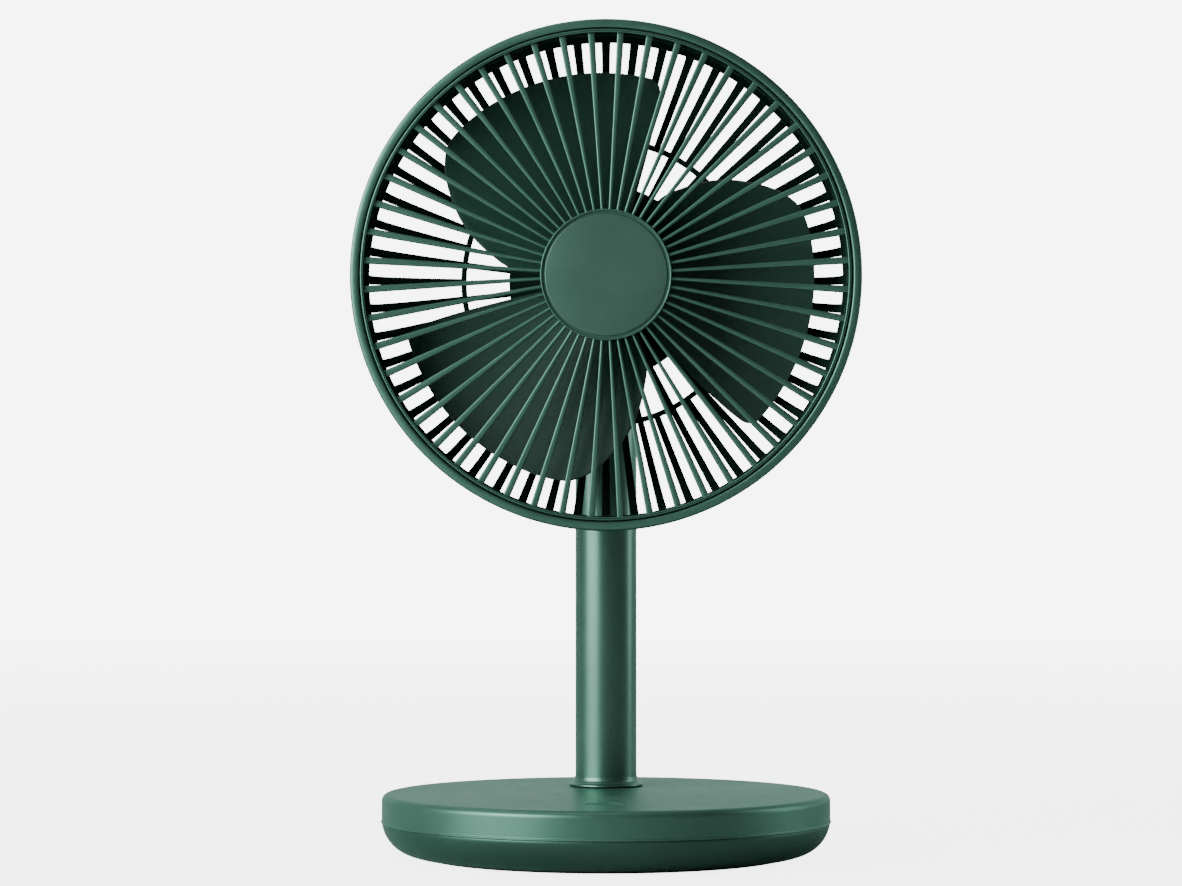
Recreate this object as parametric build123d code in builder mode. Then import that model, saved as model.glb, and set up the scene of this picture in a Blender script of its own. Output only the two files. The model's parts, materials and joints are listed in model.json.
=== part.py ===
from build123d import *
import os
from math import acos, cos, pi, radians, sin, tan

# Rechargeable desk fan.  Millimetres, +Z up.  The origin is the centre of the
# base's underside, on the table; the fan blows towards -Y and +X is on the
# right of somebody who stands in front of it.

# ---- driving dimensions ------------------------------------------------------

# base
base_r = 85.9           # widest radius of the round base, at its seam
base_h = 24.0           # table to the flat top of the base
seam_z = 13.0           # height of the joint between bowl and cover
seam_gap = 0.2          # shadow gap between the two mouldings
top_edge_r = 2.5        # rounding of the cover's top edge
shell_t = 2.2           # wall of the base mouldings
foot_h = 1.0            # how far the rubber ring stands proud of the bowl
bowl_floor_r = 75.4     # radius of the bowl's flat underside
foot_r_in = 58.0
foot_r_out = 70.0
screw_circle_r = 64.0   # circle of the six screws that close the base

# pole
pole_r = 12.0
pole_wall = 1.2
pole_y = 36.0           # the pole stands behind the middle of the base
pole_top_z = 201.6
plug_z = 182.0          # lower end of the knuckle's plug in the tube
collar_r = 14.5
collar_h = 3.6
turn_gap = 0.3          # running gap under the collar

# head
head_z = 220.6          # height of the fan's axis
front_y = -40.0         # plane of the grille's front edge
head_r = 95.8
lip_r = 92.0            # outer radius of the grille's rim
rim_r = 90.7            # inner radius of the grille's rim
wall_r = 90.4           # inside of the cage's solid band
band_depth = 31.0       # depth of that band
ring_r = 55.0           # middle ring of the cage
plate_r = 37.0          # motor plate in the middle of the cage
plate_front = 51.5      # depth of the plate's front face
plate_t = 2.0
cover_back = 58.8       # depth of the motor cover's flat back
rib_count = 52
rib_t = 2.6             # thickness of the cage ribs, front to back

# grille front
hub_r = 24.6
disc_r = 23.0
disc_t = 1.3
rib_front = 1.5
rib_depth = 3.5

# rotor
blade_count = 3
blade_tip_r = 79.4
blade_hub_r = 22.0
blade_pitch = 100.0     # advance of the blade's screw surface in one turn
blade_mid = 27.5        # depth of the middle of the blades
blade_t = 1.8
shaft_r = 2.0
running = 0.05          # radial clearance of a shaft in its bearing

# hinge of the head
hinge_r = 9.0
knuckle_half = 6.8
arm_in = 7.4
arm_out = 13.8
bolt_r = 2.5

# swing drive
gear_module = 1.0
gear_teeth = 36
pinion_teeth = 12
gear_z = 15.0
gear_t = 3.6

# ---- frames of reference -----------------------------------------------------

pole_axis = Axis((0, pole_y, 0), (0, 0, 1))
head_axis = Axis((0, front_y, head_z), (0, 1, 0))
hinge_y = pole_y
hinge_z = head_z
gear_distance = gear_module * (gear_teeth + pinion_teeth) / 2
pinion_x = -gear_distance
motor_x = pinion_x - 6.0      # the gear motor's body is off its output shaft

# (radius, height) half-sections of the base and of the pole
base_section = Plane.XZ
pole_section = Plane((0, pole_y, 0), x_dir=(1, 0, 0), z_dir=(0, -1, 0))
# (depth, radius) half-section of the head; depth 0 is the grille's front edge
head_section = Plane((0, front_y, head_z), x_dir=(0, 1, 0), z_dir=(1, 0, 0))


def face_on(depth):
    """Plane across the head's axis, seen from the front, at a depth behind the front edge."""
    return Plane((0, front_y + depth, head_z), x_dir=(1, 0, 0), z_dir=(0, -1, 0))


def on_pole(height):
    """Level plane with its middle on the pole's axis."""
    return Plane((0, pole_y, height))


def polar(radius, degrees):
    return (radius * cos(radians(degrees)), radius * sin(radians(degrees)))


def finish(builder, name):
    builder.part.label = name
    export_step(builder.part, f"parts/{name}.step")


def tooth_points(teeth, backlash):
    """Outline of one involute gear tooth that points along +X."""
    pitch_r = gear_module * teeth / 2
    base_circle = pitch_r * cos(radians(20))
    root_r = pitch_r - 1.25 * gear_module
    tip_r = pitch_r + 0.95 * gear_module
    start_r = max(root_r, base_circle)
    half_at_pitch = pi / (2 * teeth) - backlash / (2 * pitch_r)
    flank = [root_r - 0.3] + [start_r + (tip_r - start_r) * step / 4 for step in range(5)]
    inv_20 = tan(radians(20)) - radians(20)
    left = []
    for radius in flank:
        pressure = acos(base_circle / max(radius, base_circle))
        half = half_at_pitch + inv_20 - (tan(pressure) - pressure)
        left.append((radius * cos(half), radius * sin(half)))
    right = [(x, -y) for x, y in reversed(left)]
    return left + right


os.makedirs("parts", exist_ok=True)

floor_z = foot_h + shell_t - 0.2      # inside floor of the bowl
skin_z = base_h - shell_t             # underside of the cover's top

# ---- base --------------------------------------------------------------------

board_z = 13.4
board_t = 1.6
board_posts = [(-20, -66), (20, -66), (-20, -42), (20, -42)]
charge_z = 13.2
charge_posts = [(-7, 70), (7, 70)]
motor_ear = 17.5
motor_ear_angle = 120
motor_ears = [
    (motor_x + motor_ear * cos(radians(a)), pole_y + motor_ear * sin(radians(a)))
    for a in (motor_ear_angle, motor_ear_angle + 180)
]
motor_top = 13.8
seat_screw_points = [(sx * 12, pole_y + sy * 12) for sx in (-1, 1) for sy in (-1, 1)]
key_y = -54.0
key_r = 7.0
light_y = -17.0
light_pitch = 2.4
light_points = [(light_pitch * (i - 1.5), light_y) for i in range(4)]
light_r = 0.8
port_w = 9.0
port_h = 3.2
port_z = 16.0
lap_z = 14.3            # top of the bowl's rim, which laps inside the cover

with BuildPart() as base_bowl:
    with BuildSketch(base_section):
        with BuildLine():
            Line((0, foot_h), (bowl_floor_r, foot_h))
            ThreePointArc((bowl_floor_r, foot_h), (81.2, 3.8), (base_r - 0.1, seam_z))
            Line((base_r - 0.1, seam_z), (base_r - 2.6, seam_z))
            Line((base_r - 2.6, seam_z), (base_r - 2.6, lap_z))
            Line((base_r - 2.6, lap_z), (base_r - 4.0, lap_z))
            Line((base_r - 4.0, lap_z), (base_r - 4.0, seam_z - 1))
            ThreePointArc((base_r - 4.0, seam_z - 1), (79.2, 5.9), (73.0, floor_z))
            Line((73.0, floor_z), (0, floor_z))
            Line((0, floor_z), (0, foot_h))
        make_face()
    revolve(axis=Axis.Z)
    # channel for the rubber ring
    with BuildSketch(Plane.XY.offset(foot_h)):
        Circle(foot_r_out)
        Circle(foot_r_in, mode=Mode.SUBTRACT)
    extrude(amount=0.6, mode=Mode.SUBTRACT)
    # pads and posts that stand on the floor
    with BuildSketch(Plane.XY.offset(floor_z - 0.5)):
        with PolarLocations(screw_circle_r, 6):
            Circle(4.5)
    extrude(amount=3.5)
    with BuildSketch(Plane.XY.offset(floor_z - 0.5)):
        with Locations(*board_posts):
            Circle(3.0)
    extrude(amount=board_z - floor_z + 0.5)
    with BuildSketch(Plane.XY.offset(floor_z - 0.5)):
        with Locations(*charge_posts):
            Circle(2.5)
    extrude(amount=charge_z - floor_z + 0.5)
    with BuildSketch(Plane.XY.offset(floor_z - 0.5)):
        with Locations(*motor_ears):
            Circle(3.0)
    extrude(amount=motor_top - 0.8 - floor_z + 0.5)
    # screw seats
    with BuildSketch(Plane.XY):
        with PolarLocations(screw_circle_r, 6):
            Circle(3.0)
    extrude(amount=3.5, mode=Mode.SUBTRACT)
    with BuildSketch(Plane.XY):
        with PolarLocations(screw_circle_r, 6):
            Circle(1.5)
    extrude(amount=8, mode=Mode.SUBTRACT)
    with BuildSketch(Plane.XY.offset(foot_h)):
        with Locations(*seat_screw_points):
            Circle(3.0)
    extrude(amount=1.5, taper=45, mode=Mode.SUBTRACT)
    with BuildSketch(Plane.XY):
        with Locations(*seat_screw_points):
            Circle(1.5)
    extrude(amount=6, mode=Mode.SUBTRACT)
    with BuildSketch(Plane.XY.offset(8)):
        with Locations(*board_posts, *charge_posts, *motor_ears):
            Circle(1.0)
    extrude(amount=8, mode=Mode.SUBTRACT)
finish(base_bowl, "base_bowl")

with BuildPart() as base_cover:
    with BuildSketch(base_section):
        with BuildLine():
            Polyline(
                (0, base_h),
                (base_r, base_h),
                (base_r, seam_z + 0.9),
                (base_r + 0.3, seam_z + 0.7),
                (base_r + 0.3, seam_z + seam_gap),
                (base_r - shell_t, seam_z + seam_gap),
                (base_r - shell_t, skin_z),
                (0, skin_z),
                close=True,
            )
        make_face()
    revolve(axis=Axis.Z)
    top_edge = base_cover.edges().filter_by(GeomType.CIRCLE).group_by(Axis.Z)[-1]
    fillet(top_edge, top_edge_r)
    with BuildSketch(Plane.XY.offset(skin_z + 0.5)):
        with PolarLocations(screw_circle_r, 6):
            Circle(3.5)
    extrude(amount=-(skin_z + 0.5 - 6.0))
    with BuildSketch(Plane.XY.offset(6.0)):
        with PolarLocations(screw_circle_r, 6):
            Circle(1.3)
    extrude(amount=8, mode=Mode.SUBTRACT)
    # openings in the top: the pole, the key and the four small lights
    with BuildSketch(Plane.XY.offset(base_h)):
        with Locations((0, pole_y)):
            Circle(8.6)
        with Locations((0, key_y)):
            Circle(key_r + 0.4)
        with Locations(*light_points):
            Circle(light_r)
    extrude(amount=-4, mode=Mode.SUBTRACT)
    # charging socket in the back wall
    with BuildSketch(Plane.XZ.offset(-(base_r - 8))):
        with Locations((0, port_z)):
            SlotOverall(port_w + 0.3, port_h + 0.3)
    extrude(amount=-12, mode=Mode.SUBTRACT)
finish(base_cover, "base_cover")

with BuildPart() as foot_ring:
    with BuildSketch(Plane.XY):
        Circle(foot_r_out)
        Circle(foot_r_in, mode=Mode.SUBTRACT)
    extrude(amount=foot_h + 0.6)
    chamfer(foot_ring.edges().group_by(Axis.Z)[0], 0.3)
finish(foot_ring, "foot_ring")

with BuildPart() as ballast_plate:
    with BuildSketch(Plane.XY.offset(floor_z + 0.05)):
        with Locations((0, -35)):
            RectangleRounded(54, 50, 4)
        with Locations((-20, -42), (20, -42)):
            Circle(3.6, mode=Mode.SUBTRACT)
    extrude(amount=6)
finish(ballast_plate, "ballast_plate")

with BuildPart() as base_screws:
    with BuildSketch(Plane.XY.offset(1.7)):
        with PolarLocations(screw_circle_r, 6):
            Circle(2.6)
    extrude(amount=1.8)
    with BuildSketch(Plane.XY.offset(3.5)):
        with PolarLocations(screw_circle_r, 6):
            Circle(1.3)
    extrude(amount=9)
    # cross recess
    with BuildSketch(Plane.XY.offset(1.7)):
        with PolarLocations(screw_circle_r, 6):
            Rectangle(3.0, 0.6)
            Rectangle(0.6, 3.0)
    extrude(amount=1.0, mode=Mode.SUBTRACT)
finish(base_screws, "base_screws")

cell_r = 9.15
cell_len = 65.0
cell_z = 12.4
cell_places = [(-45, -11.5), (45, -11.5)]

with BuildPart() as battery_cradles:
    with BuildSketch(Plane.XY.offset(floor_z + 0.05)):
        with Locations(*cell_places):
            RectangleRounded(22, cell_len + 3.6, 1)
    extrude(amount=10)
    for place_x, place_y in cell_places:
        cradle_end = Plane((place_x, place_y, cell_z), x_dir=(1, 0, 0), z_dir=(0, -1, 0))
        with BuildSketch(cradle_end):
            Circle(cell_r + 0.05)
        extrude(amount=cell_len / 2 + 0.1, both=True, mode=Mode.SUBTRACT)
    with BuildSketch(Plane.XY):
        with Locations(*cell_places):
            Rectangle(8, cell_len - 10)
    extrude(amount=6, mode=Mode.SUBTRACT)
finish(battery_cradles, "battery_cradles")

with BuildPart() as battery_cells:
    for place_x, place_y in cell_places:
        cell_end = Plane((place_x, place_y + cell_len / 2, cell_z), x_dir=(1, 0, 0), z_dir=(0, -1, 0))
        with BuildSketch(cell_end):
            Circle(cell_r)
        extrude(amount=cell_len)
    fillet(battery_cells.edges().filter_by(GeomType.CIRCLE), 0.8)
finish(battery_cells, "battery_cells")

with BuildPart() as control_board:
    with BuildSketch(Plane.XY.offset(board_z)):
        with Locations((0, key_y)):
            RectangleRounded(48, 34, 2)
        with Locations(*board_posts):
            Circle(1.2, mode=Mode.SUBTRACT)
    extrude(amount=board_t)
    with BuildSketch(Plane.XY.offset(board_z + board_t)):
        with Locations((-13, -60), (13, -60)):
            Rectangle(5, 5)
        with Locations((-12, -46)):
            Rectangle(7, 4)
        with Locations((12, -47)):
            Rectangle(4, 6)
    extrude(amount=1.4)
finish(control_board, "control_board")

with BuildPart() as tact_switch:
    with BuildSketch(Plane.XY.offset(board_z + board_t)):
        with Locations((0, key_y)):
            Rectangle(6, 6)
    extrude(amount=3.4)
    with BuildSketch(Plane.XY.offset(board_z + board_t + 3.4)):
        with Locations((0, key_y)):
            Circle(2.1)
    extrude(amount=-1.6, mode=Mode.SUBTRACT)
finish(tact_switch, "tact_switch")

with BuildPart() as key_plunger:
    with BuildSketch(Plane.XY.offset(board_z + board_t + 2.4)):
        with Locations((0, key_y)):
            Circle(1.7)
    extrude(amount=2.1)
finish(key_plunger, "key_plunger")

with BuildPart() as power_key:
    with BuildSketch(Plane.XY.offset(19.5)):
        with Locations((0, key_y)):
            Circle(2.0)
    extrude(amount=1.0)
    with BuildSketch(Plane.XY.offset(20.4)):
        with Locations((0, key_y)):
            Circle(key_r + 1.4)
    extrude(amount=1.0)
    with BuildSketch(Plane.XY.offset(21.4)):
        with Locations((0, key_y)):
            Circle(key_r)
    extrude(amount=base_h - 21.4)
    fillet(power_key.edges().group_by(Axis.Z)[-1], 0.4)
finish(power_key, "power_key")

with BuildPart() as light_guide:
    with BuildSketch(Plane.XY.offset(20.2)):
        with Locations((0, -27.5)):
            RectangleRounded(12, 25, 1)
    extrude(amount=1.5)
    with BuildSketch(Plane.XY.offset(21.6)):
        with Locations(*light_points):
            Circle(light_r)
    extrude(amount=base_h - 21.6)
    with BuildSketch(Plane.XY.offset(17.2)):
        with Locations((0, -38.5)):
            Rectangle(10, 3)
    extrude(amount=3.1)
finish(light_guide, "light_guide")

with BuildPart() as charge_board:
    with BuildSketch(Plane.XY.offset(charge_z)):
        with Locations((0, 73)):
            RectangleRounded(20, 14, 1)
        with Locations(*charge_posts):
            Circle(1.2, mode=Mode.SUBTRACT)
    extrude(amount=1.2)
finish(charge_board, "charge_board")

with BuildPart() as usb_port:
    with BuildSketch(Plane.XZ.offset(-(base_r - 0.3))):
        with Locations((0, port_z)):
            SlotOverall(port_w, port_h)
    extrude(amount=7.3)
    with BuildSketch(Plane.XZ.offset(-(base_r - 0.3))):
        with Locations((0, port_z)):
            SlotOverall(port_w - 0.7, port_h - 0.7)
    extrude(amount=6.3, mode=Mode.SUBTRACT)
    # contact tongue in the mouth
    with BuildSketch(Plane.XZ.offset(-(base_r - 7.0))):
        with Locations((0, port_z)):
            Rectangle(6.7, 0.7)
    extrude(amount=-5.0)
finish(usb_port, "usb_port")

with BuildPart() as board_screws:
    with BuildSketch(Plane.XY.offset(board_z + board_t)):
        with Locations(*board_posts):
            Circle(2.0)
    extrude(amount=1.3)
    with BuildSketch(Plane.XY.offset(board_z + board_t)):
        with Locations(*board_posts):
            Circle(1.0)
    extrude(amount=-6)
    with BuildSketch(Plane.XY.offset(charge_z + 1.2)):
        with Locations(*charge_posts):
            Circle(2.0)
    extrude(amount=1.3)
    with BuildSketch(Plane.XY.offset(charge_z + 1.2)):
        with Locations(*charge_posts):
            Circle(1.0)
    extrude(amount=-6)
finish(board_screws, "board_screws")

# ---- swivel in the base --------------------------------------------------------

seat_bore_r = 9.0
bush_top = 13.6
spindle_r = 7.0

with BuildPart() as swivel_seat:
    with BuildSketch(on_pole(floor_z + 0.05)):
        RectangleRounded(34, 34, 5)
    extrude(amount=4.95)
    with BuildSketch(on_pole(8.0)):
        Circle(12)
    extrude(amount=bush_top - 8.0)
    with BuildSketch(on_pole(3.0)):
        Circle(seat_bore_r)
    extrude(amount=12, mode=Mode.SUBTRACT)
    with BuildSketch(on_pole(3.0)):
        Circle(11)
    extrude(amount=3.4, mode=Mode.SUBTRACT)
    with BuildSketch(Plane.XY.offset(3.0)):
        with Locations(*seat_screw_points):
            Circle(1.5)
    extrude(amount=4.6, mode=Mode.SUBTRACT)
finish(swivel_seat, "swivel_seat")

with BuildPart() as seat_screws:
    with BuildSketch(Plane.XY.offset(foot_h)):
        with Locations(*seat_screw_points):
            Circle(3.0)
    extrude(amount=1.5, taper=45)
    with BuildSketch(Plane.XY.offset(foot_h + 1.4)):
        with Locations(*seat_screw_points):
            Circle(1.5)
    extrude(amount=5.2)
    with BuildSketch(Plane.XY.offset(foot_h)):
        with Locations(*seat_screw_points):
            Rectangle(3.2, 0.6)
            Rectangle(0.6, 3.2)
    extrude(amount=0.9, mode=Mode.SUBTRACT)
finish(seat_screws, "seat_screws")

with BuildPart() as pole_bush:
    with BuildSketch(on_pole(6.4)):
        Circle(seat_bore_r)
    extrude(amount=bush_top - 6.4)
    with BuildSketch(on_pole(bush_top)):
        Circle(12)
    extrude(amount=1.0)
    with BuildSketch(on_pole(6.0)):
        Circle(spindle_r + running)
    extrude(amount=10, mode=Mode.SUBTRACT)
finish(pole_bush, "pole_bush")

with BuildPart() as swing_motor:
    with BuildSketch(Plane.XY.offset(floor_z + 0.2)):
        with Locations((motor_x, pole_y)):
            Circle(12.5)
    extrude(amount=motor_top - floor_z - 0.2)
    with BuildSketch(Plane.XY.offset(motor_top)):
        with Locations((pinion_x, pole_y)):
            Circle(4)
    extrude(amount=0.7)
    # sheet-metal ears on the lid
    ear_plane = Plane((motor_x, pole_y, motor_top), x_dir=(*polar(1, motor_ear_angle), 0), z_dir=(0, 0, 1))
    with BuildSketch(ear_plane):
        SlotCenterToCenter(2 * motor_ear, 7)
        with Locations((-motor_ear, 0), (motor_ear, 0)):
            Circle(1.2, mode=Mode.SUBTRACT)
    extrude(amount=-0.8)
    with BuildSketch(Plane.XY.offset(8)):
        with Locations((pinion_x, pole_y)):
            Circle(2.0)
    extrude(amount=10, mode=Mode.SUBTRACT)
finish(swing_motor, "swing_motor")

with BuildPart() as swing_motor_screws:
    with BuildSketch(Plane.XY.offset(motor_top)):
        with Locations(*motor_ears):
            Circle(2.2)
    extrude(amount=1.2)
    with BuildSketch(Plane.XY.offset(motor_top)):
        with Locations(*motor_ears):
            Circle(1.0)
    extrude(amount=-5.5)
finish(swing_motor_screws, "swing_motor_screws")

with BuildPart() as swing_pinion:
    with BuildSketch(Plane((pinion_x, pole_y, gear_z - 0.1))):
        Circle(gear_module * (pinion_teeth / 2 - 1.25))
        with PolarLocations(0, pinion_teeth, start_angle=180 / pinion_teeth):
            Polygon(*tooth_points(pinion_teeth, 0.15), align=None)
        Circle(1.5, mode=Mode.SUBTRACT)
    extrude(amount=gear_t + 0.2)
finish(swing_pinion, "swing_pinion")

with BuildPart() as pinion_shaft:
    with BuildSketch(Plane((pinion_x, pole_y, 8.2))):
        Circle(1.5)
    extrude(amount=gear_z + gear_t + 0.6 - 8.2)
finish(pinion_shaft, "pinion_shaft")

# ---- pole --------------------------------------------------------------------

collar_z = base_h + turn_gap
plug_r = pole_r - pole_wall
tube_z = collar_z + 1.7
collar_top = collar_z + collar_h

with BuildPart() as swing_gear:
    with BuildSketch(on_pole(gear_z)):
        Circle(gear_module * (gear_teeth / 2 - 1.25))
        with PolarLocations(0, gear_teeth):
            Polygon(*tooth_points(gear_teeth, 0.15), align=None)
        Circle(8.0, mode=Mode.SUBTRACT)
        with PolarLocations(12.2, 6, start_angle=30):
            Circle(2.4, mode=Mode.SUBTRACT)
    extrude(amount=gear_t)
finish(swing_gear, "swing_gear")

with BuildPart() as pole_foot:
    with BuildSketch(pole_section):
        with BuildLine():
            Polyline(
                (0, 3.8),
                (spindle_r - 0.3, 3.8),
                (spindle_r, 4.1),
                (spindle_r, 4.6),
                (5.5, 4.6),
                (5.5, 5.7),
                (spindle_r, 5.7),
                (spindle_r, bush_top + 1.1),
                (8.0, bush_top + 1.1),
                (8.0, collar_z),
                (pole_r - 0.2, collar_z),
                (pole_r - 0.2, tube_z),
                (plug_r, tube_z),
                (plug_r, 51.0),
                (plug_r - 1.0, 52.0),
                (0, 52.0),
                close=True,
            )
        make_face()
    revolve(axis=pole_axis)
    # cable way down the middle, with a window above the gear
    with BuildSketch(on_pole(52.0)):
        Circle(4.0)
    extrude(amount=-46.0, mode=Mode.SUBTRACT)
    with BuildSketch(Plane((0, pole_y + 5, 20.3), x_dir=(1, 0, 0), z_dir=(0, -1, 0))):
        Rectangle(5.0, 2.2)
    extrude(amount=5.0, both=True, mode=Mode.SUBTRACT)
    # blind holes of the two short pins
    with BuildSketch(Plane((-pole_r, pole_y, tube_z + 1.0), x_dir=(0, 1, 0), z_dir=(1, 0, 0))):
        Circle(0.8)
    extrude(amount=6.0, mode=Mode.SUBTRACT)
    with BuildSketch(Plane((pole_r, pole_y, tube_z + 1.0), x_dir=(0, 1, 0), z_dir=(1, 0, 0))):
        Circle(0.8)
    extrude(amount=-6.0, mode=Mode.SUBTRACT)
finish(pole_foot, "pole_foot")

with BuildPart() as retaining_ring:
    with BuildSketch(on_pole(4.65)):
        Circle(9.6)
        Circle(5.5, mode=Mode.SUBTRACT)
        with Locations((0, -8)):
            Rectangle(4.5, 12, mode=Mode.SUBTRACT)
    extrude(amount=1.0)
finish(retaining_ring, "retaining_ring")

knuckle_pin_z = pole_top_z - 8.0
neck_way_z = pole_top_z + 6.2   # where the cable leaves the knuckle's neck

with BuildPart() as pole_tube:
    with BuildSketch(on_pole(tube_z)):
        Circle(pole_r)
        Circle(plug_r, mode=Mode.SUBTRACT)
    extrude(amount=pole_top_z - tube_z)
    for pin_z in (tube_z + 1.0, knuckle_pin_z):
        with BuildSketch(Plane((0, pole_y, pin_z), x_dir=(0, 1, 0), z_dir=(1, 0, 0))):
            Circle(0.8)
        extrude(amount=pole_r + 1, both=True, mode=Mode.SUBTRACT)
finish(pole_tube, "pole_tube")

with BuildPart() as pole_collar:
    with BuildSketch(pole_section):
        with BuildLine():
            Line((pole_r, collar_z), (collar_r, collar_z))
            Line((collar_r, collar_z), (collar_r, collar_z + 0.8))
            ThreePointArc((collar_r, collar_z + 0.8), (pole_r + 0.85, collar_z + 1.5), (pole_r + 0.3, collar_top))
            Line((pole_r + 0.3, collar_top), (pole_r, collar_top))
            Line((pole_r, collar_top), (pole_r, collar_z))
        make_face()
    revolve(axis=pole_axis)
finish(pole_collar, "pole_collar")

with BuildPart() as tube_pins:
    for pin_z in (tube_z + 1.0, knuckle_pin_z):
        for side in (-1, 1):
            pin_end = Plane((side * (pole_r - 0.05), pole_y, pin_z), x_dir=(0, 1, 0), z_dir=(-side, 0, 0))
            with BuildSketch(pin_end):
                Circle(0.8)
            extrude(amount=5.5)
finish(tube_pins, "tube_pins")

with BuildPart() as tilt_knuckle:
    with BuildSketch(pole_section):
        with BuildLine():
            Line((0, plug_z), (plug_r, plug_z))
            Line((plug_r, plug_z), (plug_r, pole_top_z))
            Line((plug_r, pole_top_z), (pole_r, pole_top_z))
            ThreePointArc((pole_r, pole_top_z), (10.9, pole_top_z + 2.6), (knuckle_half, pole_top_z + 4.0))
            Line((knuckle_half, pole_top_z + 4.0), (0, pole_top_z + 4.0))
            Line((0, pole_top_z + 4.0), (0, plug_z))
        make_face()
    revolve(axis=pole_axis)
    # neck and barrel
    with BuildSketch(Plane((0, hinge_y, hinge_z), x_dir=(0, 1, 0), z_dir=(1, 0, 0))):
        Circle(hinge_r)
        with Locations((0, (pole_top_z + 2 - hinge_z) / 2)):
            Rectangle(13.0, hinge_z - pole_top_z - 2)
    extrude(amount=knuckle_half, both=True)
    with BuildSketch(Plane((0, hinge_y, hinge_z), x_dir=(0, 1, 0), z_dir=(1, 0, 0))):
        Circle(bolt_r + running)
    extrude(amount=knuckle_half + 2, both=True, mode=Mode.SUBTRACT)
    # cable way up the plug, out at the front of the neck
    with BuildSketch(on_pole(plug_z)):
        Circle(3.5)
    extrude(amount=neck_way_z + 1.8 - plug_z, mode=Mode.SUBTRACT)
    with BuildSketch(Plane((0, hinge_y, neck_way_z), x_dir=(1, 0, 0), z_dir=(0, -1, 0))):
        RectangleRounded(5, 3.4, 1)
    extrude(amount=9, mode=Mode.SUBTRACT)
    for side in (-1, 1):
        pin_hole = Plane((side * pole_r, pole_y, knuckle_pin_z), x_dir=(0, 1, 0), z_dir=(-side, 0, 0))
        with BuildSketch(pin_hole):
            Circle(0.8)
        extrude(amount=6.0, mode=Mode.SUBTRACT)
finish(tilt_knuckle, "tilt_knuckle")

with BuildPart() as friction_washers:
    for side in (-1, 1):
        washer = Plane((side * (knuckle_half + 0.02), hinge_y, hinge_z), x_dir=(0, 1, 0), z_dir=(side, 0, 0))
        with BuildSketch(washer):
            Circle(8.2)
            Circle(bolt_r + 0.4, mode=Mode.SUBTRACT)
        extrude(amount=0.5)
finish(friction_washers, "friction_washers")

with BuildPart() as pole_wires:
    with BuildSketch(on_pole(19.4)):
        with Locations((-1.2, 0), (1.2, 0)):
            Circle(0.9)
    extrude(amount=186)
finish(pole_wires, "pole_wires")

# ---- head: hinge side ------------------------------------------------------------

bracket_back = cover_back + 3.2
bracket_screw_points = [(sx * 10.5, sy * 7.0) for sx in (-1, 1) for sy in (-1, 1)]

with BuildPart() as tilt_bracket:
    with BuildSketch(face_on(bracket_back)):
        RectangleRounded(2 * arm_out, 22, 3)
    extrude(amount=bracket_back - cover_back)
    for side in (-1, 1):
        arm = Plane((side * arm_in, hinge_y, hinge_z), x_dir=(0, 1, 0), z_dir=(side, 0, 0))
        reach = hinge_y - (front_y + bracket_back) + 1
        with BuildSketch(arm):
            Circle(hinge_r)
            with Locations((-reach / 2, 0)):
                Rectangle(reach, 15)
        extrude(amount=arm_out - arm_in)
        with BuildSketch(arm):
            Circle(bolt_r)
        extrude(amount=arm_out - arm_in, mode=Mode.SUBTRACT)
        with BuildSketch(arm.offset(arm_out - arm_in)):
            Circle(6.2)
        extrude(amount=-4.0, mode=Mode.SUBTRACT)
    with BuildSketch(face_on(cover_back)):
        with Locations(*bracket_screw_points):
            Circle(1.25)
    extrude(amount=-2.8, mode=Mode.SUBTRACT)
    # cable hole
    with BuildSketch(face_on(cover_back)):
        with Locations((0, -5)):
            Circle(2.5)
    extrude(amount=-4, mode=Mode.SUBTRACT)
finish(tilt_bracket, "tilt_bracket")

bolt_end = Plane((0, hinge_y, hinge_z), x_dir=(0, 1, 0), z_dir=(1, 0, 0))
bolt_seat = arm_out - 4.0

with BuildPart() as hinge_bolt:
    with BuildSketch(bolt_end.offset(-bolt_seat - 2.4)):
        Circle(bolt_r)
    extrude(amount=2 * bolt_seat + 2.4)
    with BuildSketch(bolt_end.offset(bolt_seat)):
        Circle(4.5)
    extrude(amount=2.4)
    with BuildSketch(bolt_end.offset(bolt_seat + 2.4)):
        RegularPolygon(2.0, 6)
    extrude(amount=-1.4, mode=Mode.SUBTRACT)
finish(hinge_bolt, "hinge_bolt")

with BuildPart() as hinge_nut:
    with BuildSketch(bolt_end.offset(-bolt_seat)):
        RegularPolygon(4.6, 6)
        Circle(bolt_r, mode=Mode.SUBTRACT)
    extrude(amount=-2.4)
finish(hinge_nut, "hinge_nut")

with BuildPart() as hinge_caps:
    for side in (-1, 1):
        cap_face = Plane((side * (arm_out - 1.3), hinge_y, hinge_z), x_dir=(0, 1, 0), z_dir=(side, 0, 0))
        with BuildSketch(cap_face):
            Circle(6.2)
        extrude(amount=1.3)
finish(hinge_caps, "hinge_caps")

cover_screw_circle = 31.0
motor_screw_circle = 16.0
cover_wall = 2.0

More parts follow.
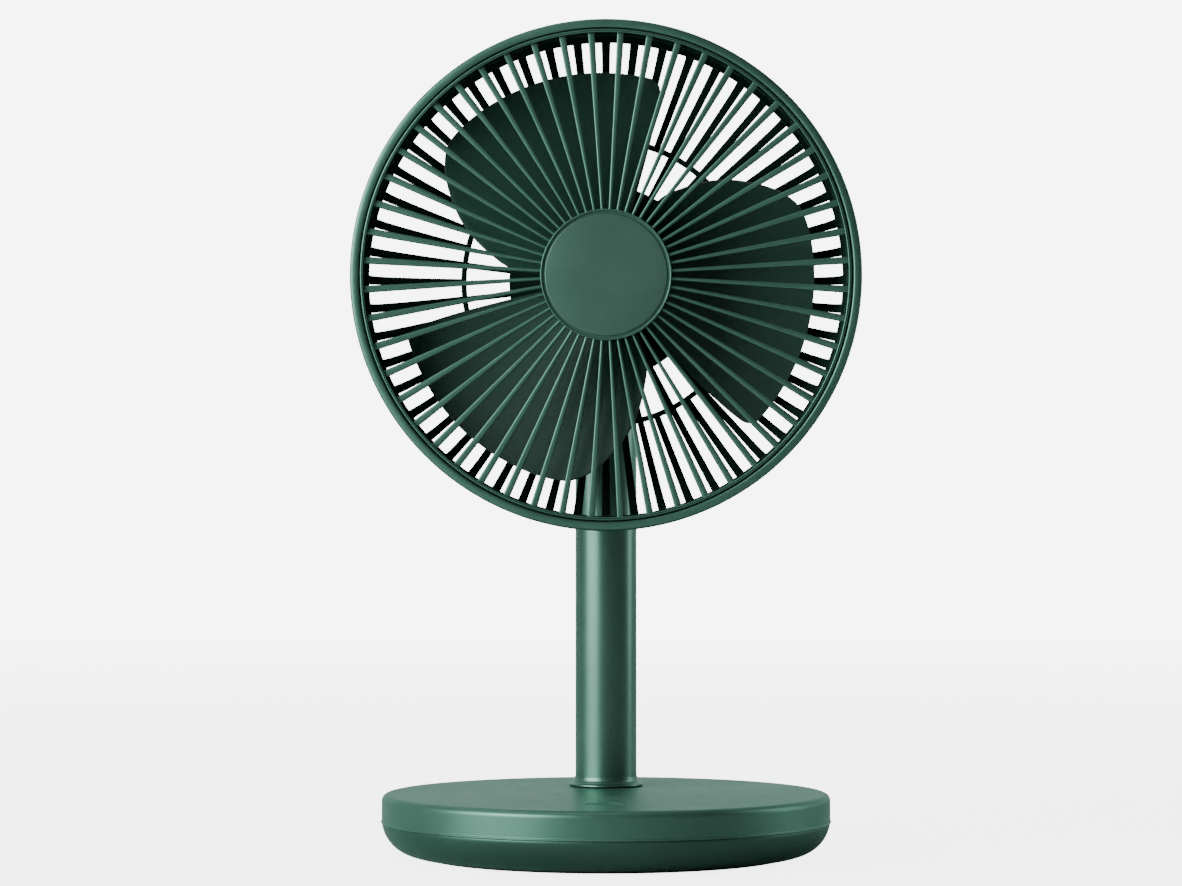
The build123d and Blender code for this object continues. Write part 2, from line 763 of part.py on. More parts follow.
with BuildPart() as motor_cover:
    with BuildSketch(head_section):
        with BuildLine():
            Line((plate_front + plate_t, plate_r + 0.5), (55.0, plate_r + 0.5))
            ThreePointArc((55.0, plate_r + 0.5), (57.5, 30.0), (cover_back, 20.0))
            Line((cover_back, 20.0), (cover_back, 0))
            Line((cover_back, 0), (cover_back - cover_wall, 0))
            Line((cover_back - cover_wall, 0), (cover_back - cover_wall, 19.0))
            ThreePointArc((cover_back - cover_wall, 19.0), (55.5, 29.0), (53.8, plate_r - 1.5))
            Line((53.8, plate_r - 1.5), (plate_front + plate_t, plate_r - 1.5))
            Line((plate_front + plate_t, plate_r - 1.5), (plate_front + plate_t, plate_r + 0.5))
        make_face()
    revolve(axis=head_axis)
    with BuildSketch(face_on(plate_front + plate_t)):
        with PolarLocations(cover_screw_circle, 4, start_angle=45):
            Circle(3.0)
    extrude(amount=-3.2)
    with BuildSketch(face_on(plate_front + plate_t)):
        with PolarLocations(cover_screw_circle, 4, start_angle=45):
            Circle(1.0)
    extrude(amount=-2.6, mode=Mode.SUBTRACT)
    with BuildSketch(face_on(cover_back)):
        with Locations(*bracket_screw_points):
            Circle(1.4)
        with Locations((0, -5)):
            Circle(2.5)
    extrude(amount=cover_wall + 0.5, mode=Mode.SUBTRACT)
finish(motor_cover, "motor_cover")

with BuildPart() as bracket_screws:
    with BuildSketch(face_on(cover_back - cover_wall)):
        with Locations(*bracket_screw_points):
            Circle(2.2)
    extrude(amount=1.4)
    with BuildSketch(face_on(cover_back - cover_wall)):
        with Locations(*bracket_screw_points):
            Circle(1.25)
    extrude(amount=-4.6)
finish(bracket_screws, "bracket_screws")

with BuildPart() as cover_screws:
    with BuildSketch(face_on(plate_front)):
        with PolarLocations(cover_screw_circle, 4, start_angle=45):
            Circle(2.2)
    extrude(amount=1.4)
    with BuildSketch(face_on(plate_front)):
        with PolarLocations(cover_screw_circle, 4, start_angle=45):
            Circle(1.0)
    extrude(amount=-4.4)
finish(cover_screws, "cover_screws")

with BuildPart() as motor_board:
    with BuildSketch(face_on(55.2)):
        Circle(24)
        Circle(8, mode=Mode.SUBTRACT)
        with PolarLocations(motor_screw_circle, 3, start_angle=90):
            Circle(3.2, mode=Mode.SUBTRACT)
    extrude(amount=1.2)
    with BuildSketch(face_on(56.4)):
        with Locations((18, 0), (-18, 0)):
            Rectangle(4, 5)
        with Locations((0, -17)):
            Rectangle(6, 4)
    extrude(amount=1.2)
finish(motor_board, "motor_board")

# ---- head: cage and grille ---------------------------------------------------------


def spokes(count, start, r_in, r_out, w_in, w_out):
    """Tapered radial bars in the current sketch; start is the angle of the first one."""
    with PolarLocations(0, count, start_angle=start):
        Polygon((r_in, w_in / 2), (r_in, -w_in / 2), (r_out, -w_out / 2), (r_out, w_out / 2), align=None)


with BuildPart() as rear_cage:
    # basket surface, later cut into ribs
    with BuildSketch(head_section):
        with BuildLine():
            Line((band_depth, wall_r), (band_depth + 2.0, wall_r))
            ThreePointArc((band_depth + 2.0, wall_r), (38.2, 88.0), (41.5, 82.5))
            ThreePointArc((41.5, 82.5), (46.6, 69.0), (49.6, ring_r))
            Line((49.6, ring_r), (plate_front, plate_r))
            Line((plate_front, plate_r), (plate_front + plate_t, plate_r))
            Line((plate_front + plate_t, plate_r), (49.6 + rib_t, ring_r))
            ThreePointArc((49.6 + rib_t, ring_r), (49.1, 69.8), (44.0, 83.4))
            ThreePointArc((44.0, 83.4), (40.2, 89.6), (band_depth + 2.0, wall_r + 2.4))
            Line((band_depth + 2.0, wall_r + 2.4), (band_depth, wall_r + 2.4))
            Line((band_depth, wall_r + 2.4), (band_depth, wall_r))
        make_face()
    revolve(axis=head_axis)
    with BuildSketch(face_on(band_depth - 1)):
        spokes(rib_count, 90, ring_r - 1, head_r, 2.3, 3.4)
        spokes(rib_count // 2, 90, plate_r - 3, ring_r, 1.9, 1.9)
    extrude(amount=-30, mode=Mode.INTERSECT)
    # solid band round the front
    with BuildSketch(head_section):
        with BuildLine():
            Line((0.6, lip_r + 0.4), (0.2, lip_r + 0.8))
            Line((0.2, lip_r + 0.8), (0.2, lip_r + 1.2))
            ThreePointArc((0.2, lip_r + 1.2), (1.6, head_r - 0.7), (5.0, head_r))
            ThreePointArc((5.0, head_r), (18.0, head_r - 0.5), (band_depth + 0.5, wall_r + 2.4))
            Line((band_depth + 0.5, wall_r + 2.4), (band_depth + 0.5, wall_r))
            Line((band_depth + 0.5, wall_r), (9.2, wall_r))
            Line((9.2, wall_r), (9.2, lip_r + 0.4))
            Line((9.2, lip_r + 0.4), (0.6, lip_r + 0.4))
        make_face()
    revolve(axis=head_axis)
    # middle ring and motor plate
    with BuildSketch(head_section):
        with Locations((49.6 + rib_t / 2 + 0.1, ring_r)):
            Rectangle(rib_t, 2.1)
    revolve(axis=head_axis)
    with BuildSketch(face_on(plate_front + plate_t)):
        Circle(plate_r + 0.5)
        Circle(6, mode=Mode.SUBTRACT)
        with PolarLocations(motor_screw_circle, 3, start_angle=90):
            Circle(1.6, mode=Mode.SUBTRACT)
        with PolarLocations(cover_screw_circle, 4, start_angle=45):
            Circle(1.2, mode=Mode.SUBTRACT)
    extrude(amount=plate_t)
    # hole of the lock screw, at the bottom of the band
    with BuildSketch(Plane((0, front_y + 5, head_z - head_r - 1))):
        Circle(1.9)
    extrude(amount=1.8, mode=Mode.SUBTRACT)
    with BuildSketch(Plane((0, front_y + 5, head_z - head_r - 1))):
        Circle(1.0)
    extrude(amount=6, mode=Mode.SUBTRACT)
finish(rear_cage, "rear_cage")

with BuildPart() as front_grille:
    # bars, hub plate and rim
    with BuildSketch(face_on(rib_front + rib_depth)):
        spokes(rib_count, 90 + 180 / rib_count, hub_r - 0.4, rim_r + 0.4, 0.9, 2.1)
        Circle(hub_r)
        Circle(hub_r - 1.2, mode=Mode.SUBTRACT)
    extrude(amount=rib_depth)
    with BuildSketch(face_on(disc_t + 2.0)):
        Circle(hub_r - 1)
    extrude(amount=2.0)
    with BuildSketch(head_section):
        with BuildLine():
            Polyline(
                (rib_front + 1, hub_r - 0.5),
                (0.3, hub_r - 0.5),
                (0.3, hub_r - 0.2),
                (0.8, hub_r),
                (rib_front + 1, hub_r),
                close=True,
            )
        make_face()
    revolve(axis=head_axis)
    with BuildSketch(head_section):
        with BuildLine():
            Polyline(
                (0.3, rim_r),
                (0, rim_r + 0.3),
                (0, lip_r - 0.4),
                (0.4, lip_r),
                (9.0, lip_r),
                (9.0, rim_r),
                close=True,
            )
        make_face()
    revolve(axis=head_axis)
    # pilot hole of the lock screw
    with BuildSketch(Plane((0, front_y + 5, head_z - lip_r - 1))):
        Circle(0.8)
    extrude(amount=3, mode=Mode.SUBTRACT)
finish(front_grille, "front_grille")

with BuildPart() as grille_screw:
    with BuildSketch(Plane((0, front_y + 5, head_z - head_r + 0.5))):
        Circle(1.7)
    extrude(amount=0.3)
    with BuildSketch(Plane((0, front_y + 5, head_z - head_r + 0.8))):
        Circle(0.8)
    extrude(amount=4.4)
finish(grille_screw, "grille_screw")

with BuildPart() as hub_disc:
    with BuildSketch(face_on(disc_t)):
        Circle(disc_r)
    extrude(amount=disc_t)
    fillet(hub_disc.edges().sort_by(Axis.Y)[0], 0.4)
finish(hub_disc, "hub_disc")

# ---- motor -------------------------------------------------------------------

pole_count = 9
tube_r = 5.5
bearing_r = 4.5
stator_r = 14.9
stator_front = 36.0
stator_back = 44.0

with BuildPart() as motor_base:
    with BuildSketch(face_on(plate_front)):
        Circle(21)
        with PolarLocations(motor_screw_circle, 3, start_angle=90):
            Circle(1.5, mode=Mode.SUBTRACT)
    extrude(amount=3.0)
    with BuildSketch(face_on(plate_front)):
        Circle(tube_r)
    extrude(amount=plate_front - 33.5)
    with BuildSketch(face_on(plate_front)):
        Circle(bearing_r)
    extrude(amount=plate_front - 33.0, mode=Mode.SUBTRACT)
finish(motor_base, "motor_base")

with BuildPart() as motor_screws:
    with BuildSketch(face_on(plate_front + plate_t)):
        with PolarLocations(motor_screw_circle, 3, start_angle=90):
            Circle(2.6)
    extrude(amount=-1.5)
    with BuildSketch(face_on(plate_front + plate_t)):
        with PolarLocations(motor_screw_circle, 3, start_angle=90):
            Circle(1.5)
    extrude(amount=4.6)
finish(motor_screws, "motor_screws")

with BuildPart() as shaft_bearings:
    for bearing_back in (37.5, 50.5):
        with BuildSketch(face_on(bearing_back)):
            Circle(bearing_r)
            Circle(shaft_r + running, mode=Mode.SUBTRACT)
        extrude(amount=3.5)
finish(shaft_bearings, "shaft_bearings")

with BuildPart() as stator_core:
    with BuildSketch(face_on(stator_back)):
        Circle(stator_r)
        Circle(stator_r - 1.7, mode=Mode.SUBTRACT)
        with PolarLocations(0, pole_count, start_angle=180 / pole_count):
            Polygon((10, 0.9), (10, -0.9), (16, -0.9), (16, 0.9), align=None, mode=Mode.SUBTRACT)
        with PolarLocations(10.4, pole_count):
            Rectangle(6.4, 2.4)
        Circle(8.2)
        Circle(tube_r, mode=Mode.SUBTRACT)
    extrude(amount=stator_back - stator_front)
finish(stator_core, "stator_core")

with BuildPart() as stator_coils:
    with BuildSketch(face_on(stator_back + 1)):
        with PolarLocations(10.8, pole_count):
            Rectangle(3.8, 4.4)
    extrude(amount=stator_back - stator_front + 2)
    with BuildSketch(face_on(stator_back)):
        with PolarLocations(10.8, pole_count):
            Rectangle(5.0, 2.4)
    extrude(amount=stator_back - stator_front, mode=Mode.SUBTRACT)
finish(stator_coils, "stator_coils")

with BuildPart() as motor_shaft:
    with BuildSketch(face_on(52.0)):
        Circle(shaft_r)
    extrude(amount=43.0)
    chamfer(motor_shaft.edges().group_by(Axis.Y)[-1], 0.3)
finish(motor_shaft, "motor_shaft")

with BuildPart() as rotor_cup:
    with BuildSketch(head_section):
        with BuildLine():
            Polyline(
                (27.0, shaft_r),
                (27.0, 4.5),
                (31.0, 5.0),
                (31.0, 17.2),
                (31.8, 18.0),
                (46.0, 18.0),
                (46.0, 16.9),
                (32.2, 16.9),
                (32.2, shaft_r),
                close=True,
            )
        make_face()
    revolve(axis=head_axis)
finish(rotor_cup, "rotor_cup")

with BuildPart() as rotor_magnet:
    with BuildSketch(face_on(45.8)):
        Circle(16.9)
        Circle(stator_r + 0.5, mode=Mode.SUBTRACT)
    extrude(amount=11.6)
finish(rotor_magnet, "rotor_magnet")

# Screw surface of one blade: depth falls as the angle grows, so the edge that
# leads, at the small angle, lies at the back, and the blade throws air forwards.
lead_angle = 72.0
mid_angle_tip = 109.0
mid_angle_root = 124.0
camber = 2.0
root_r = blade_hub_r - 1.0      # the blades start inside the wall of their hub


def blade_depth(radius, degrees):
    share = (radius - blade_hub_r) / (blade_tip_r - blade_hub_r)
    middle = mid_angle_root + (mid_angle_tip - mid_angle_root) * share
    half_chord = middle - lead_angle + 2
    bow = camber * (1 - ((degrees - middle) / half_chord) ** 2)
    return blade_mid + blade_pitch * (middle - degrees) / 360 + bow


grid = []
for radius_step in range(9):
    grid_radius = 17.0 + (blade_tip_r + 3.0 - 17.0) * radius_step / 8
    row = []
    for angle_step in range(15):
        grid_angle = 58.0 + 140.0 * angle_step / 14
        grid_x, grid_up = polar(grid_radius, grid_angle)
        grid_y = front_y + blade_depth(grid_radius, grid_angle)
        row.append(Vector(grid_x, grid_y, head_z + grid_up))
    grid.append(row)
blade_face = Face.make_surface_from_array_of_points(grid)
blade_plate = thicken(blade_face, amount=blade_t / 2, both=True)

with BuildPart() as blade_blank:
    with BuildSketch(face_on(50.0)):
        with BuildLine():
            lead = Line(polar(root_r, 70.0), polar(blade_tip_r - 6.0, 74.0))
            corner = polar(blade_tip_r - 0.05, 79.5)
            TangentArc((lead @ 1, corner), tangent=lead % 1)
            ThreePointArc(corner, polar(blade_tip_r, 108.0), polar(blade_tip_r - 0.6, 137.0))
            Spline(
                polar(blade_tip_r - 0.6, 137.0),
                polar(75.5, 145.0),
                polar(65.5, 153.0),
                polar(56.3, 160.4),
                polar(44.4, 168.6),
                polar(35.4, 174.7),
                polar(root_r, 178.0),
                tangents=(Vector(*polar(1, 137.0 + 90)), Vector(*polar(1, 10.0))),
            )
            ThreePointArc(polar(root_r, 178.0), polar(root_r, 124.0), polar(root_r, 70.0))
        make_face()
    extrude(amount=48.0)
    add(blade_plate, mode=Mode.INTERSECT)

with BuildPart() as fan_blade:
    with BuildSketch(head_section):
        with BuildLine():
            Polyline(
                (12.0, shaft_r),
                (12.0, blade_hub_r - 3.0),
                (15.0, blade_hub_r),
                (44.0, blade_hub_r),
                (44.0, blade_hub_r - 2.0),
                (15.0, blade_hub_r - 2.0),
                (15.0, 5.0),
                (26.9, 5.0),
                (26.9, shaft_r),
                close=True,
            )
        make_face()
    revolve(axis=head_axis)
    for turn in range(blade_count):
        add(blade_blank.part.rotate(head_axis, 360 / blade_count * turn))
finish(fan_blade, "fan_blade")

with BuildPart() as blade_nut:
    with BuildSketch(head_section):
        with BuildLine():
            Line((12.0, shaft_r), (12.0, 7.0))
            Line((12.0, 7.0), (10.0, 7.0))
            ThreePointArc((10.0, 7.0), (8.3, 4.8), (7.6, 1.5))
            Line((7.6, 1.5), (7.6, 0))
            Line((7.6, 0), (9.0, 0))
            Line((9.0, 0), (9.0, shaft_r))
            Line((9.0, shaft_r), (12.0, shaft_r))
        make_face()
    revolve(axis=head_axis)
finish(blade_nut, "blade_nut")
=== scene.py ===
import json
from math import atan2, ceil, cos, degrees, pi, radians, sin, sqrt, tan

import bmesh
import bpy
from mathutils import Matrix, Vector


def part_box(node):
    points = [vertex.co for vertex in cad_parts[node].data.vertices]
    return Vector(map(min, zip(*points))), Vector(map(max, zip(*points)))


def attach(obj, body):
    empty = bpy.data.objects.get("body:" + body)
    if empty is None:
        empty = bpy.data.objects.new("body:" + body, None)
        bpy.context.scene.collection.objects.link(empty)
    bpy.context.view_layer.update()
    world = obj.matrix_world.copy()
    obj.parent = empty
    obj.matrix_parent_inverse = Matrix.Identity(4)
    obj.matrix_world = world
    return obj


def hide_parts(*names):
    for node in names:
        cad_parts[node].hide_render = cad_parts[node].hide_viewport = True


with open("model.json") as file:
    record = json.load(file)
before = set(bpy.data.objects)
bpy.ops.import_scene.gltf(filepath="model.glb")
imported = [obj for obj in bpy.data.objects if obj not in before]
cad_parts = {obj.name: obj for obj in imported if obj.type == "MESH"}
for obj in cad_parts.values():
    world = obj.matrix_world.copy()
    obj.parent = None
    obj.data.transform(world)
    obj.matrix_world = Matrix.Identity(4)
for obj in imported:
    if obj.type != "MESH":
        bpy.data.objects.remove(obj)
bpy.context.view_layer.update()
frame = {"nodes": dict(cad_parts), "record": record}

MM = 0.001


# ---- places and sizes in millimetres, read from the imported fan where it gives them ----


def reach(node):
    """Lowest and highest corner of a CAD node in millimetres."""
    low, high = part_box(node)
    return low / MM, high / MM


grille_low, grille_high = reach("front_grille")
disc_low, disc_high = reach("hub_disc")
tube_low, tube_high = reach("pole_tube")
collar_low, collar_high = reach("pole_collar")
key_low, key_high = reach("power_key")
port_low, port_high = reach("usb_port")
bracket_low, _ = reach("tilt_bracket")
_, cage_high = reach("rear_cage")
_, motor_cover_high = reach("motor_cover")
_, cover_high = reach("base_cover")
_, bowl_high = reach("base_bowl")

# head: radii from the fan's axis, depths behind the grille's front edge
front_y = grille_low.y
head_z = (grille_low.z + grille_high.z) / 2
lip_r = grille_high.x  # outside of the grille's rim
rim_r = lip_r - 1.3  # inside of the grille's rim
rim_depth = 9.0
head_r = cage_high.x  # outside of the cage's band
wall_r = rim_r - 0.3  # inside of the cage's band
band_depth = 31.0
disc_r = disc_high.x
disc_t = disc_high.y - disc_low.y
hub_r = disc_r + 1.6
hub_bead_w = 0.55  # raised ring round the hub disc
plate_t = 2.0  # hub plate and motor plate
plate_r = motor_cover_high.x  # motor plate
plate_front = 51.5
plate_hole_r = 6.0
ring_r = 55.0  # middle ring of the cage
ring_front = 49.7

# bars of the grille and the cage
rib_count = 52
rib_front = 1.5
rib_depth = 3.5
rib_w_hub, rib_w_rim = 1.1, 2.6
cage_rib_t = 2.6
cage_rib_w_band, cage_rib_w_ring = 3.8, 2.5
inner_rib_w_ring, inner_rib_w_plate = 2.3, 2.1

# motor cover
motor_flat_r = 20.0
motor_side_depth = 55.0
motor_wall = 2.0

# rotor: angles in degrees around the fan's axis
blade_count = 3
blade_tip_r = 79.4
blade_hub_r = 22.0
blade_t = 1.7
blade_mid_depth = 27.5
blade_pitch = 100.0  # advance in one full turn
blade_bow = 2.0
lead_angle = 70.0
root_middle_angle, tip_middle_angle = 124.0, 109.0
hub_front, hub_back = 12.0, 44.0
socket_back = 26.9  # end of the shaft's socket

# pole
pole_y = (tube_low.y + tube_high.y) / 2
pole_r = tube_high.x
pole_wall = 1.2
collar_r = collar_high.x

# base
base_r = bowl_high.x + 0.1
top_z = cover_high.z
top_edge_r = 2.5
cover_t = 2.2
seam_z = 13.2  # lower edge of the cover
bowl_z = 13.0  # upper edge of the bowl
lap_z = 14.3  # top of the bowl's lap inside the cover
bowl_floor_z = 1.0
bowl_inside_z = 3.0
groove_in_r, groove_out_r = 58.0, 70.0  # groove for the rubber foot
foot_t = 1.6
pole_hole_r = 8.6
light_hole_r = 0.8
light_count, light_step, lights_y = 4, 2.4, -17.0

# key
key_x = (key_low.x + key_high.x) / 2
key_y = (key_low.y + key_high.y) / 2
key_r = 7.0
key_gap = 0.4
key_dish_r, key_dish_depth = 6.2, 0.42
key_flange_r, key_flange_z, key_flange_t = 8.4, 21.4, 1.0
key_stem_r, key_stem_z = 2.0, 19.5

# segments round a turned piece, by its size
LARGE, MIDDLE, SMALL, TINY = 224, 160, 128, 96


# ---- mesh helpers ---------------------------------------------------------------------


def mesh_in_metres(name, bm):
    """Mesh data from closed millimetre mesh work, with its faces turned outward."""
    bmesh.ops.recalc_face_normals(bm, faces=bm.faces)
    bmesh.ops.scale(bm, vec=(MM, MM, MM), verts=bm.verts)
    mesh = bpy.data.meshes.new(name)
    bm.to_mesh(mesh)
    bm.free()
    return mesh


def smooth(mesh, sharp=35.0):
    """Smooth shading, broken at edges sharper than the angle in degrees."""
    for face in mesh.polygons:
        face.use_smooth = True
    mesh.set_sharp_from_angle(angle=radians(sharp))


def piece(name, bm, body, slot, replaced, finish=None, sharp=35.0):
    """Finished piece that rides on a body and stands for a CAD node."""
    mesh = mesh_in_metres(name, bm)
    smooth(mesh, sharp)
    mesh.materials.append(FINISHES[finish or slot])
    made = bpy.data.objects.new(name, mesh)
    bpy.context.scene.collection.objects.link(made)
    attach(made, body)
    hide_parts(replaced)
    return made


def rounded(corners, hold=0.35):
    """Closed outline from (x, y, radius) corners; hold adds a point on each side of an arc."""
    outline = []
    count = len(corners)
    for i, (x, y, radius) in enumerate(corners):
        here = Vector((x, y))
        before = Vector(corners[i - 1][:2]) - here
        after = Vector(corners[(i + 1) % count][:2]) - here
        if radius <= 0:
            outline.append((x, y))
            continue
        to_before, to_after = before.normalized(), after.normalized()
        half = to_before.angle(to_after) / 2
        leg = radius / tan(half)
        centre = here + (to_before + to_after).normalized() * (radius / sin(half))
        start = here + to_before * leg - centre
        end = here + to_after * leg - centre
        sweep = atan2(start.x * end.y - start.y * end.x, start.dot(end))
        steps = max(3, ceil(abs(degrees(sweep)) / 9))
        if before.length > leg + 2 * hold:
            outline.append(tuple(here + to_before * (leg + hold)))
        for step in range(steps + 1):
            angle = sweep * step / steps
            spoke_x = start.x * cos(angle) - start.y * sin(angle)
            spoke_y = start.x * sin(angle) + start.y * cos(angle)
            outline.append(tuple(centre + Vector((spoke_x, spoke_y))))
        if after.length > leg + 2 * hold:
            outline.append(tuple(here + to_after * (leg + hold)))
    return outline


def arc_through(a, b, c, steps):
    """Points from a to c on the circle through a, b and c, without c itself."""
    (ax, ay), (bx, by), (cx, cy) = a, b, c
    a2, b2, c2 = ax**2 + ay**2, bx**2 + by**2, cx**2 + cy**2
    d = 2 * (ax * (by - cy) + bx * (cy - ay) + cx * (ay - by))
    ux = (a2 * (by - cy) + b2 * (cy - ay) + c2 * (ay - by)) / d
    uy = (a2 * (cx - bx) + b2 * (ax - cx) + c2 * (bx - ax)) / d
    radius = sqrt((ax - ux) ** 2 + (ay - uy) ** 2)
    first, middle, last = (atan2(y - uy, x - ux) for x, y in (a, b, c))
    sweep = (last - first) % (2 * pi)
    if (middle - first) % (2 * pi) > sweep:
        sweep -= 2 * pi
    angles = [first + sweep * step / steps for step in range(steps)]
    return [(ux + radius * cos(angle), uy + radius * sin(angle)) for angle in angles]


def on_base(radius, angle, height):
    return Vector((radius * cos(angle), radius * sin(angle), height))


def on_pole(radius, angle, height):
    return Vector((radius * cos(angle), pole_y + radius * sin(angle), height))


def on_key(radius, angle, height):
    return Vector((radius * cos(angle), key_y + radius * sin(angle), height))


def on_head(radius, angle, depth):
    """Angle from +X towards +Z; depth behind the grille's front edge."""
    return Vector((radius * cos(angle), front_y + depth, head_z + radius * sin(angle)))


def turn(bm, outline, place, segments):
    """Turns a closed (radius, height) outline about the axis that place() knows."""
    rows = []
    for k in range(segments):
        angle = 2 * pi * k / segments
        rows.append([bm.verts.new(place(radius, angle, height)) for radius, height in outline])
    count = len(outline)
    for near, far in zip(rows, rows[1:] + rows[:1]):
        for i in range(count):
            j = (i + 1) % count
            on_axis = outline[i][0] < 1e-6 and outline[j][0] < 1e-6
            if not on_axis:
                bm.faces.new((near[i], near[j], far[j], far[i]))
    bmesh.ops.remove_doubles(bm, verts=bm.verts, dist=1e-4)


def bar(bm, sections):
    """Skins a list of equal rings of points and caps both ends."""
    rings = [[bm.verts.new(point) for point in section] for section in sections]
    count = len(rings[0])
    for near, far in zip(rings, rings[1:]):
        for i in range(count):
            j = (i + 1) % count
            bm.faces.new((near[i], near[j], far[j], far[i]))
    bm.faces.new(rings[0])
    bm.faces.new(rings[-1])


def pill(width, depth, radius):
    """Section of a bar: a rectangle with rounded corners, centred."""
    radius = min(radius, width * 0.49, depth * 0.49)
    points = []
    for corner in range(4):
        cx = (width / 2 - radius) * (1 if corner in (0, 3) else -1)
        cy = (depth / 2 - radius) * (1 if corner in (0, 1) else -1)
        for step in range(4):
            angle = pi / 2 * (corner + step / 3)
            points.append((cx + radius * cos(angle), cy + radius * sin(angle)))
    return points


def smooth_line(points, steps):
    """Catmull-Rom curve through the points."""
    line = []
    for i in range(len(points) - 1):
        p0 = Vector(points[max(i - 1, 0)])
        p1 = Vector(points[i])
        p2 = Vector(points[i + 1])
        p3 = Vector(points[min(i + 2, len(points) - 1)])
        for step in range(steps):
            t = step / steps
            square = (2 * p0 - 5 * p1 + 4 * p2 - p3) * t**2
            cube = (3 * p1 - p0 - 3 * p2 + p3) * t**3
            line.append(0.5 * (2 * p1 + (p2 - p0) * t + square + cube))
    line.append(Vector(points[-1]))
    return line


def point_on(line, share):
    """Point at a share of the way along a line of points."""
    place = share * (len(line) - 1)
    i = min(int(place), len(line) - 2)
    return line[i].lerp(line[i + 1], place - i)


def cut(target, name, bm):
    """Cuts a closed millimetre mesh out of a finished piece."""
    tool = bpy.data.objects.new(name, mesh_in_metres(name, bm))
    bpy.context.scene.collection.objects.link(tool)
    modifier = target.modifiers.new(name, "BOOLEAN")
    modifier.operation = "DIFFERENCE"
    modifier.solver = "EXACT"
    modifier.object = tool
    bpy.context.view_layer.update()
    graph = bpy.context.evaluated_depsgraph_get()
    result = bpy.data.meshes.new_from_object(target.evaluated_get(graph))
    target.modifiers.clear()
    target.data = result
    smooth(result)
    bpy.data.objects.remove(tool)


def paint_shade_on(target, is_shaded):
    """Paints shade on the faces that the given test picks: they take a near-black copy of the green that
    stands for the shade inside the cage.
    """
    target.data.materials.append(FINISHES["cage_painted_shade"])
    axis_point = Vector((0, 0, head_z)) * MM
    for face in target.data.polygons:
        spoke = face.center - axis_point
        spoke.y = 0
        if is_shaded(face, spoke):
            face.material_index = 1


# ---- shader nodes ---------------------------------------------------------------------


def math_node(tree, operation, *values):
    node = tree.nodes.new("ShaderNodeMath")
    node.operation = operation
    for socket, value in zip(node.inputs, values):
        if isinstance(value, (int, float)):
            socket.default_value = value
        else:
            tree.links.new(value, socket)
    return node.outputs[0]


def ease(tree, value, low, high):
    """0 below low, 1 above high, and a smooth step between them."""
    node = tree.nodes.new("ShaderNodeMapRange")
    node.interpolation_type = "SMOOTHSTEP"
    tree.links.new(value, node.inputs["Value"])
    node.inputs["From Min"].default_value = low
    node.inputs["From Max"].default_value = high
    return node.outputs["Result"]


def noise(tree, coordinate, scale, detail=2.0, rough=0.5):
    node = tree.nodes.new("ShaderNodeTexNoise")
    node.inputs["Detail"].default_value = detail
    node.inputs["Roughness"].default_value = rough
    tree.links.new(coordinate, node.inputs["Vector"])
    if isinstance(scale, (int, float)):
        node.inputs["Scale"].default_value = scale
    else:
        tree.links.new(scale, node.inputs["Scale"])
    return node.outputs["Fac"]


def object_place(tree):
    return tree.nodes.new("ShaderNodeTexCoord").outputs["Object"]


def blend_colour(tree, factor, first, second):
    """Mix of two colours, each a tuple or another node's output."""
    node = tree.nodes.new("ShaderNodeMix")
    node.data_type = "RGBA"
    colour_inputs = [socket for socket in node.inputs if socket.type == "RGBA"]
    for socket, value in zip(colour_inputs, (first, second)):
        if isinstance(value, tuple):
            socket.default_value = (*value, 1.0)
        else:
            tree.links.new(value, socket)
    tree.links.new(factor, node.inputs[0])
    return next(socket for socket in node.outputs if socket.type == "RGBA")


def bump(tree, shader, height, strength, distance):
    node = tree.nodes.new("ShaderNodeBump")
    node.inputs["Strength"].default_value = strength
    node.inputs["Distance"].default_value = distance
    tree.links.new(height, node.inputs["Height"])
    tree.links.new(node.outputs["Normal"], shader.inputs["Normal"])


# ---- shared effects, each a shader group ------------------------------------------------


def new_group(name, inputs, outputs):
    """Empty group with float inputs from (label, value) and float outputs from labels."""
    group = bpy.data.node_groups.new(name, "ShaderNodeTree")
    for label, value in inputs:
        socket = group.interface.new_socket(name=label, in_out="INPUT", socket_type="NodeSocketFloat")
        socket.default_value = value
    for label in outputs:
        group.interface.new_socket(name=label, in_out="OUTPUT", socket_type="NodeSocketFloat")
    return group, group.nodes.new("NodeGroupInput"), group.nodes.new("NodeGroupOutput")


def use_group(tree, group, **values):
    """Places a group in a material; values go to its inputs, such as peel_scale to Peel Scale."""
    node = tree.nodes.new("ShaderNodeGroup")
    node.node_tree = group
    for label, value in values.items():
        node.inputs[label.replace("_", " ").title()].default_value = value
    return node.outputs


def make_orange_peel():
    """Fine sprayed-lacquer surface: a low wave under a fine grain."""
    group, given, out = new_group(
        "orange_peel", [("Peel Scale", 420.0), ("Grain Scale", 3800.0), ("Grain Share", 0.5)],
        ["Height", "Speckle"])
    place = object_place(group)
    peel = noise(group, place, given.outputs["Peel Scale"], 1.0)
    grain = noise(group, place, given.outputs["Grain Scale"], 2.0, 0.6)
    share = given.outputs["Grain Share"]
    peel_part = math_node(group, "MULTIPLY", peel, math_node(group, "SUBTRACT", 1.0, share))
    grain_part = math_node(group, "MULTIPLY", grain, share)
    group.links.new(math_node(group, "ADD", peel_part, grain_part), out.inputs["Height"])
    group.links.new(ease(group, grain, 0.35, 0.65), out.inputs["Speckle"])
    return group


